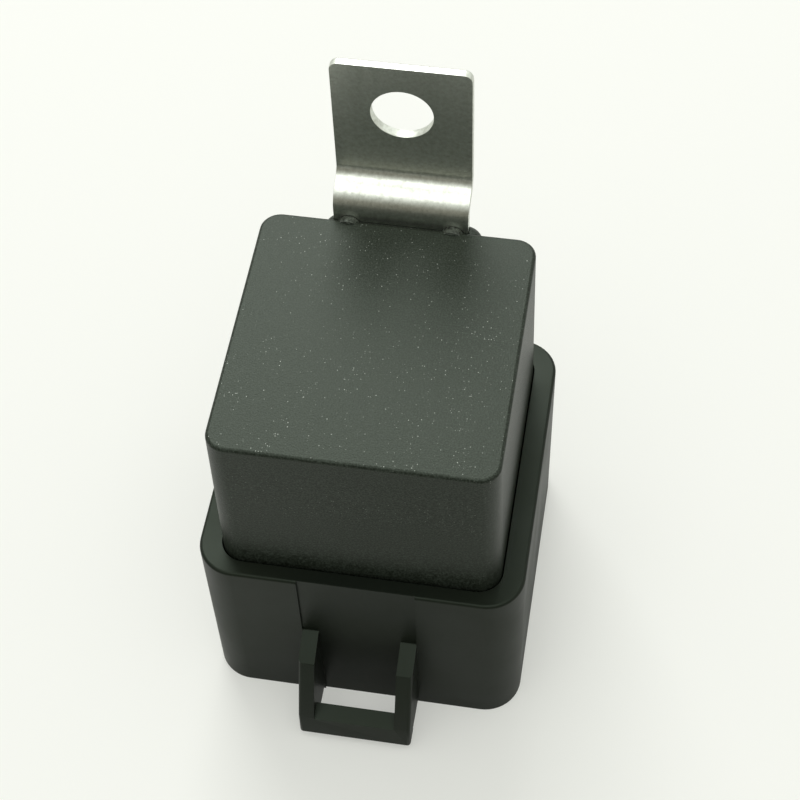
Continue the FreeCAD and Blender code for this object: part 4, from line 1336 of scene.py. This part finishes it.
@dataclass
class Resistor:
    """The damping resistor: a lacquered body with pressed end caps and two bent leads."""

    radius: float = 1.25
    waist: float = 1.1
    half: float = 3.25
    cap: float = 1.1
    cap_edge: float = 0.25
    cap_bevel: float = 0.07
    cap_lip: float = 0.15
    cap_neck: float = 0.2
    along: float = -9.2
    level: float = 22.7
    wire: float = 0.3
    wire_root: float = 0.5
    wire_end: float = -7.0
    post: float = 8.4
    bend: float = 0.7

    def build(self) -> None:
        """Turn the body, bend the leads and join them."""
        inner = self.half - self.cap
        spots = [
            (0, -self.half),
            (self.radius - self.cap_edge, -self.half),
            (self.radius - self.cap_bevel, self.cap_bevel - self.half),
            (self.radius, self.cap_edge - self.half),
            (self.radius, -inner - self.cap_lip),
            (self.waist, self.cap_neck - inner),
        ]
        spots += [(radius, -height) for radius, height in reversed(spots)]
        solid = Solid().lathe(spots, steps=40).turn(90, Axis.Y).move(0, self.along, self.level)
        piece = solid.finish("resistor")
        root = self.half - self.wire_root
        leads = [Solid().lead(self.wire, (side * root, self.along, self.level),
                              (side * self.post, self.along), self.wire_end, self.bend)
                 for side in (-1, 1)]
        join(piece, Join.FUSE, leads)
        soften(piece, 0)
        fit(piece, Body.HOUSING, CERAMIC, "damping_resistor")


# Stage

@dataclass(frozen=True)
class Softbox:
    """A square soft light, with its power in watts."""

    name: str
    place: Point
    size: float
    power: float

    def build(self, target: Point) -> None:
        """Hang the light so that it faces a target.

        Args:
            target: the place that it faces.
        """
        data = bpy.data.lights.new(self.name, "AREA")
        data.shape = "SQUARE"
        data.size = self.size * MM
        data.energy = self.power
        light = put(self.name, data)
        light.location = at(*self.place)
        aim = at(*target) - light.location
        light.rotation_euler = aim.to_track_quat("-Z", "Y").to_euler()


OVERHEAD = Softbox("overhead_softbox", (0, -170, 900), 860, 2.4)
REAR = Softbox("rear_softbox", (-200, 560, 710), 460, 3.7)


@dataclass
class Stage:
    """The pale floor, the soft lights and the camera."""

    # The floor's glow is strongest for the camera, weaker in reflections, and lights nothing
    floor_colour: str = "c8c9c4"
    floor_half: float = 1500.0
    floor_roughness: float = 0.9
    floor_glow: float = 0.6
    mirror_glow: float = 0.22
    light_target: Point = (0, 0, 25)
    sky: float = 0.5
    pale_room: str = "fdfffa"
    dim_room: str = "6b6658"
    dim_from: float = -0.2
    bright_from: float = 0.5
    bright_side: Point = (0.0, 0.3, 0.75)
    lens: float = 84.65
    sensor: float = 36.0
    camera_place: Point = (24.478, -107.678, 191.038)
    camera_right: Point = (0.9863, 0.1629, -0.0284)
    camera_up: Point = (-0.1176, 0.8116, 0.5722)
    # How near and how far the camera sees, in metres
    nearest: float = 0.005
    farthest: float = 20.0

    def floor(self) -> None:
        """Lay a wide plain floor, a little brighter where the camera or a reflection sees it."""
        mesh = bmesh.new()
        bmesh.ops.create_grid(mesh, x_segments=1, y_segments=1, size=self.floor_half * MM)
        piece = put_mesh("floor", mesh)
        paper = bpy.data.materials.new("matt_paper")
        tree = empty_tree(paper)
        rays = add_node(tree, "LightPath")
        seen = add_node(tree, "Math", {0: rays.outputs["Is Camera Ray"], 1: self.floor_glow},
                        operation="MULTIPLY")
        mirrored = add_node(tree, "Math", {0: rays.outputs["Is Glossy Ray"], 1: self.mirror_glow},
                            operation="MULTIPLY")
        glow = add_node(tree, "Math", {0: seen, 1: mirrored}, operation="ADD")
        colour = linear(self.floor_colour)
        shader = add_node(tree, "BsdfPrincipled", {
            "Base Color": colour, "Roughness": self.floor_roughness, "Emission Color": colour,
            "Emission Strength": glow})
        add_node(tree, "OutputMaterial", {"Surface": shader})
        piece.data.materials.append(paper)

    def world(self) -> None:
        """Light a soft room: white overhead and behind, and dim in front, where the camera's stand is."""
        world = bpy.data.worlds.new("studio")
        bpy.context.scene.world = world
        tree = empty_tree(world)
        rays = add_node(tree, "LightPath")
        way = add_node(tree, "TexCoord").outputs["Generated"]
        rearward = add_node(tree, "VectorMath", {0: way, 1: self.bright_side},
                            operation="DOT_PRODUCT").outputs["Value"]
        bright = add_node(tree, "MapRange", {"Value": rearward, "From Min": self.dim_from,
                                             "From Max": self.bright_from},
                          interpolation_type="SMOOTHSTEP")
        room = add_node(tree, "Mix", {0: bright, 6: linear(self.dim_room), 7: linear(self.pale_room)},
                        data_type="RGBA").outputs[2]
        pale = linear(self.pale_room)
        reflected = add_node(tree, "Background", {"Color": room, "Strength": 1.0})
        even = add_node(tree, "Background", {"Color": pale, "Strength": self.sky})
        seen = add_node(tree, "Background", {"Color": pale, "Strength": 1.0})
        light = add_node(tree, "MixShader", {0: rays.outputs["Is Glossy Ray"], 1: even, 2: reflected})
        light = add_node(tree, "MixShader", {0: rays.outputs["Is Camera Ray"], 1: light, 2: seen})
        add_node(tree, "OutputWorld", {"Surface": light})

    def camera(self) -> None:
        """Set up the camera where the photograph was taken from."""
        data = bpy.data.cameras.new("camera")
        data.lens = self.lens
        data.sensor_width = self.sensor
        data.clip_start = self.nearest
        data.clip_end = self.farthest
        right = Vector(self.camera_right).normalized()
        up = Vector(self.camera_up)
        up = (up - right * up.dot(right)).normalized()
        turned = Matrix((right, up, right.cross(up))).transposed().to_4x4()
        camera = put("camera", data)
        camera.matrix_world = Matrix.Translation(at(*self.camera_place)) @ turned
        bpy.context.scene.camera = camera

    def build(self) -> None:
        """Set the floor, the lights and the camera."""
        bpy.context.scene.view_settings.view_transform = "Standard"
        self.camera()
        self.floor()
        self.world()
        for softbox in (OVERHEAD, REAR):
            softbox.build(self.light_target)


def main() -> None:
    """Build every piece round the frame."""
    logging.basicConfig(level=logging.INFO, format="%(message)s")
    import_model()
    Stage().build()
    Case().build()
    Skirt().build()
    Strip().build()
    Terminals().build()
    Magnet().build()
    Contacts().build()
    Resistor().build()


if __name__ == "__main__":
    main()
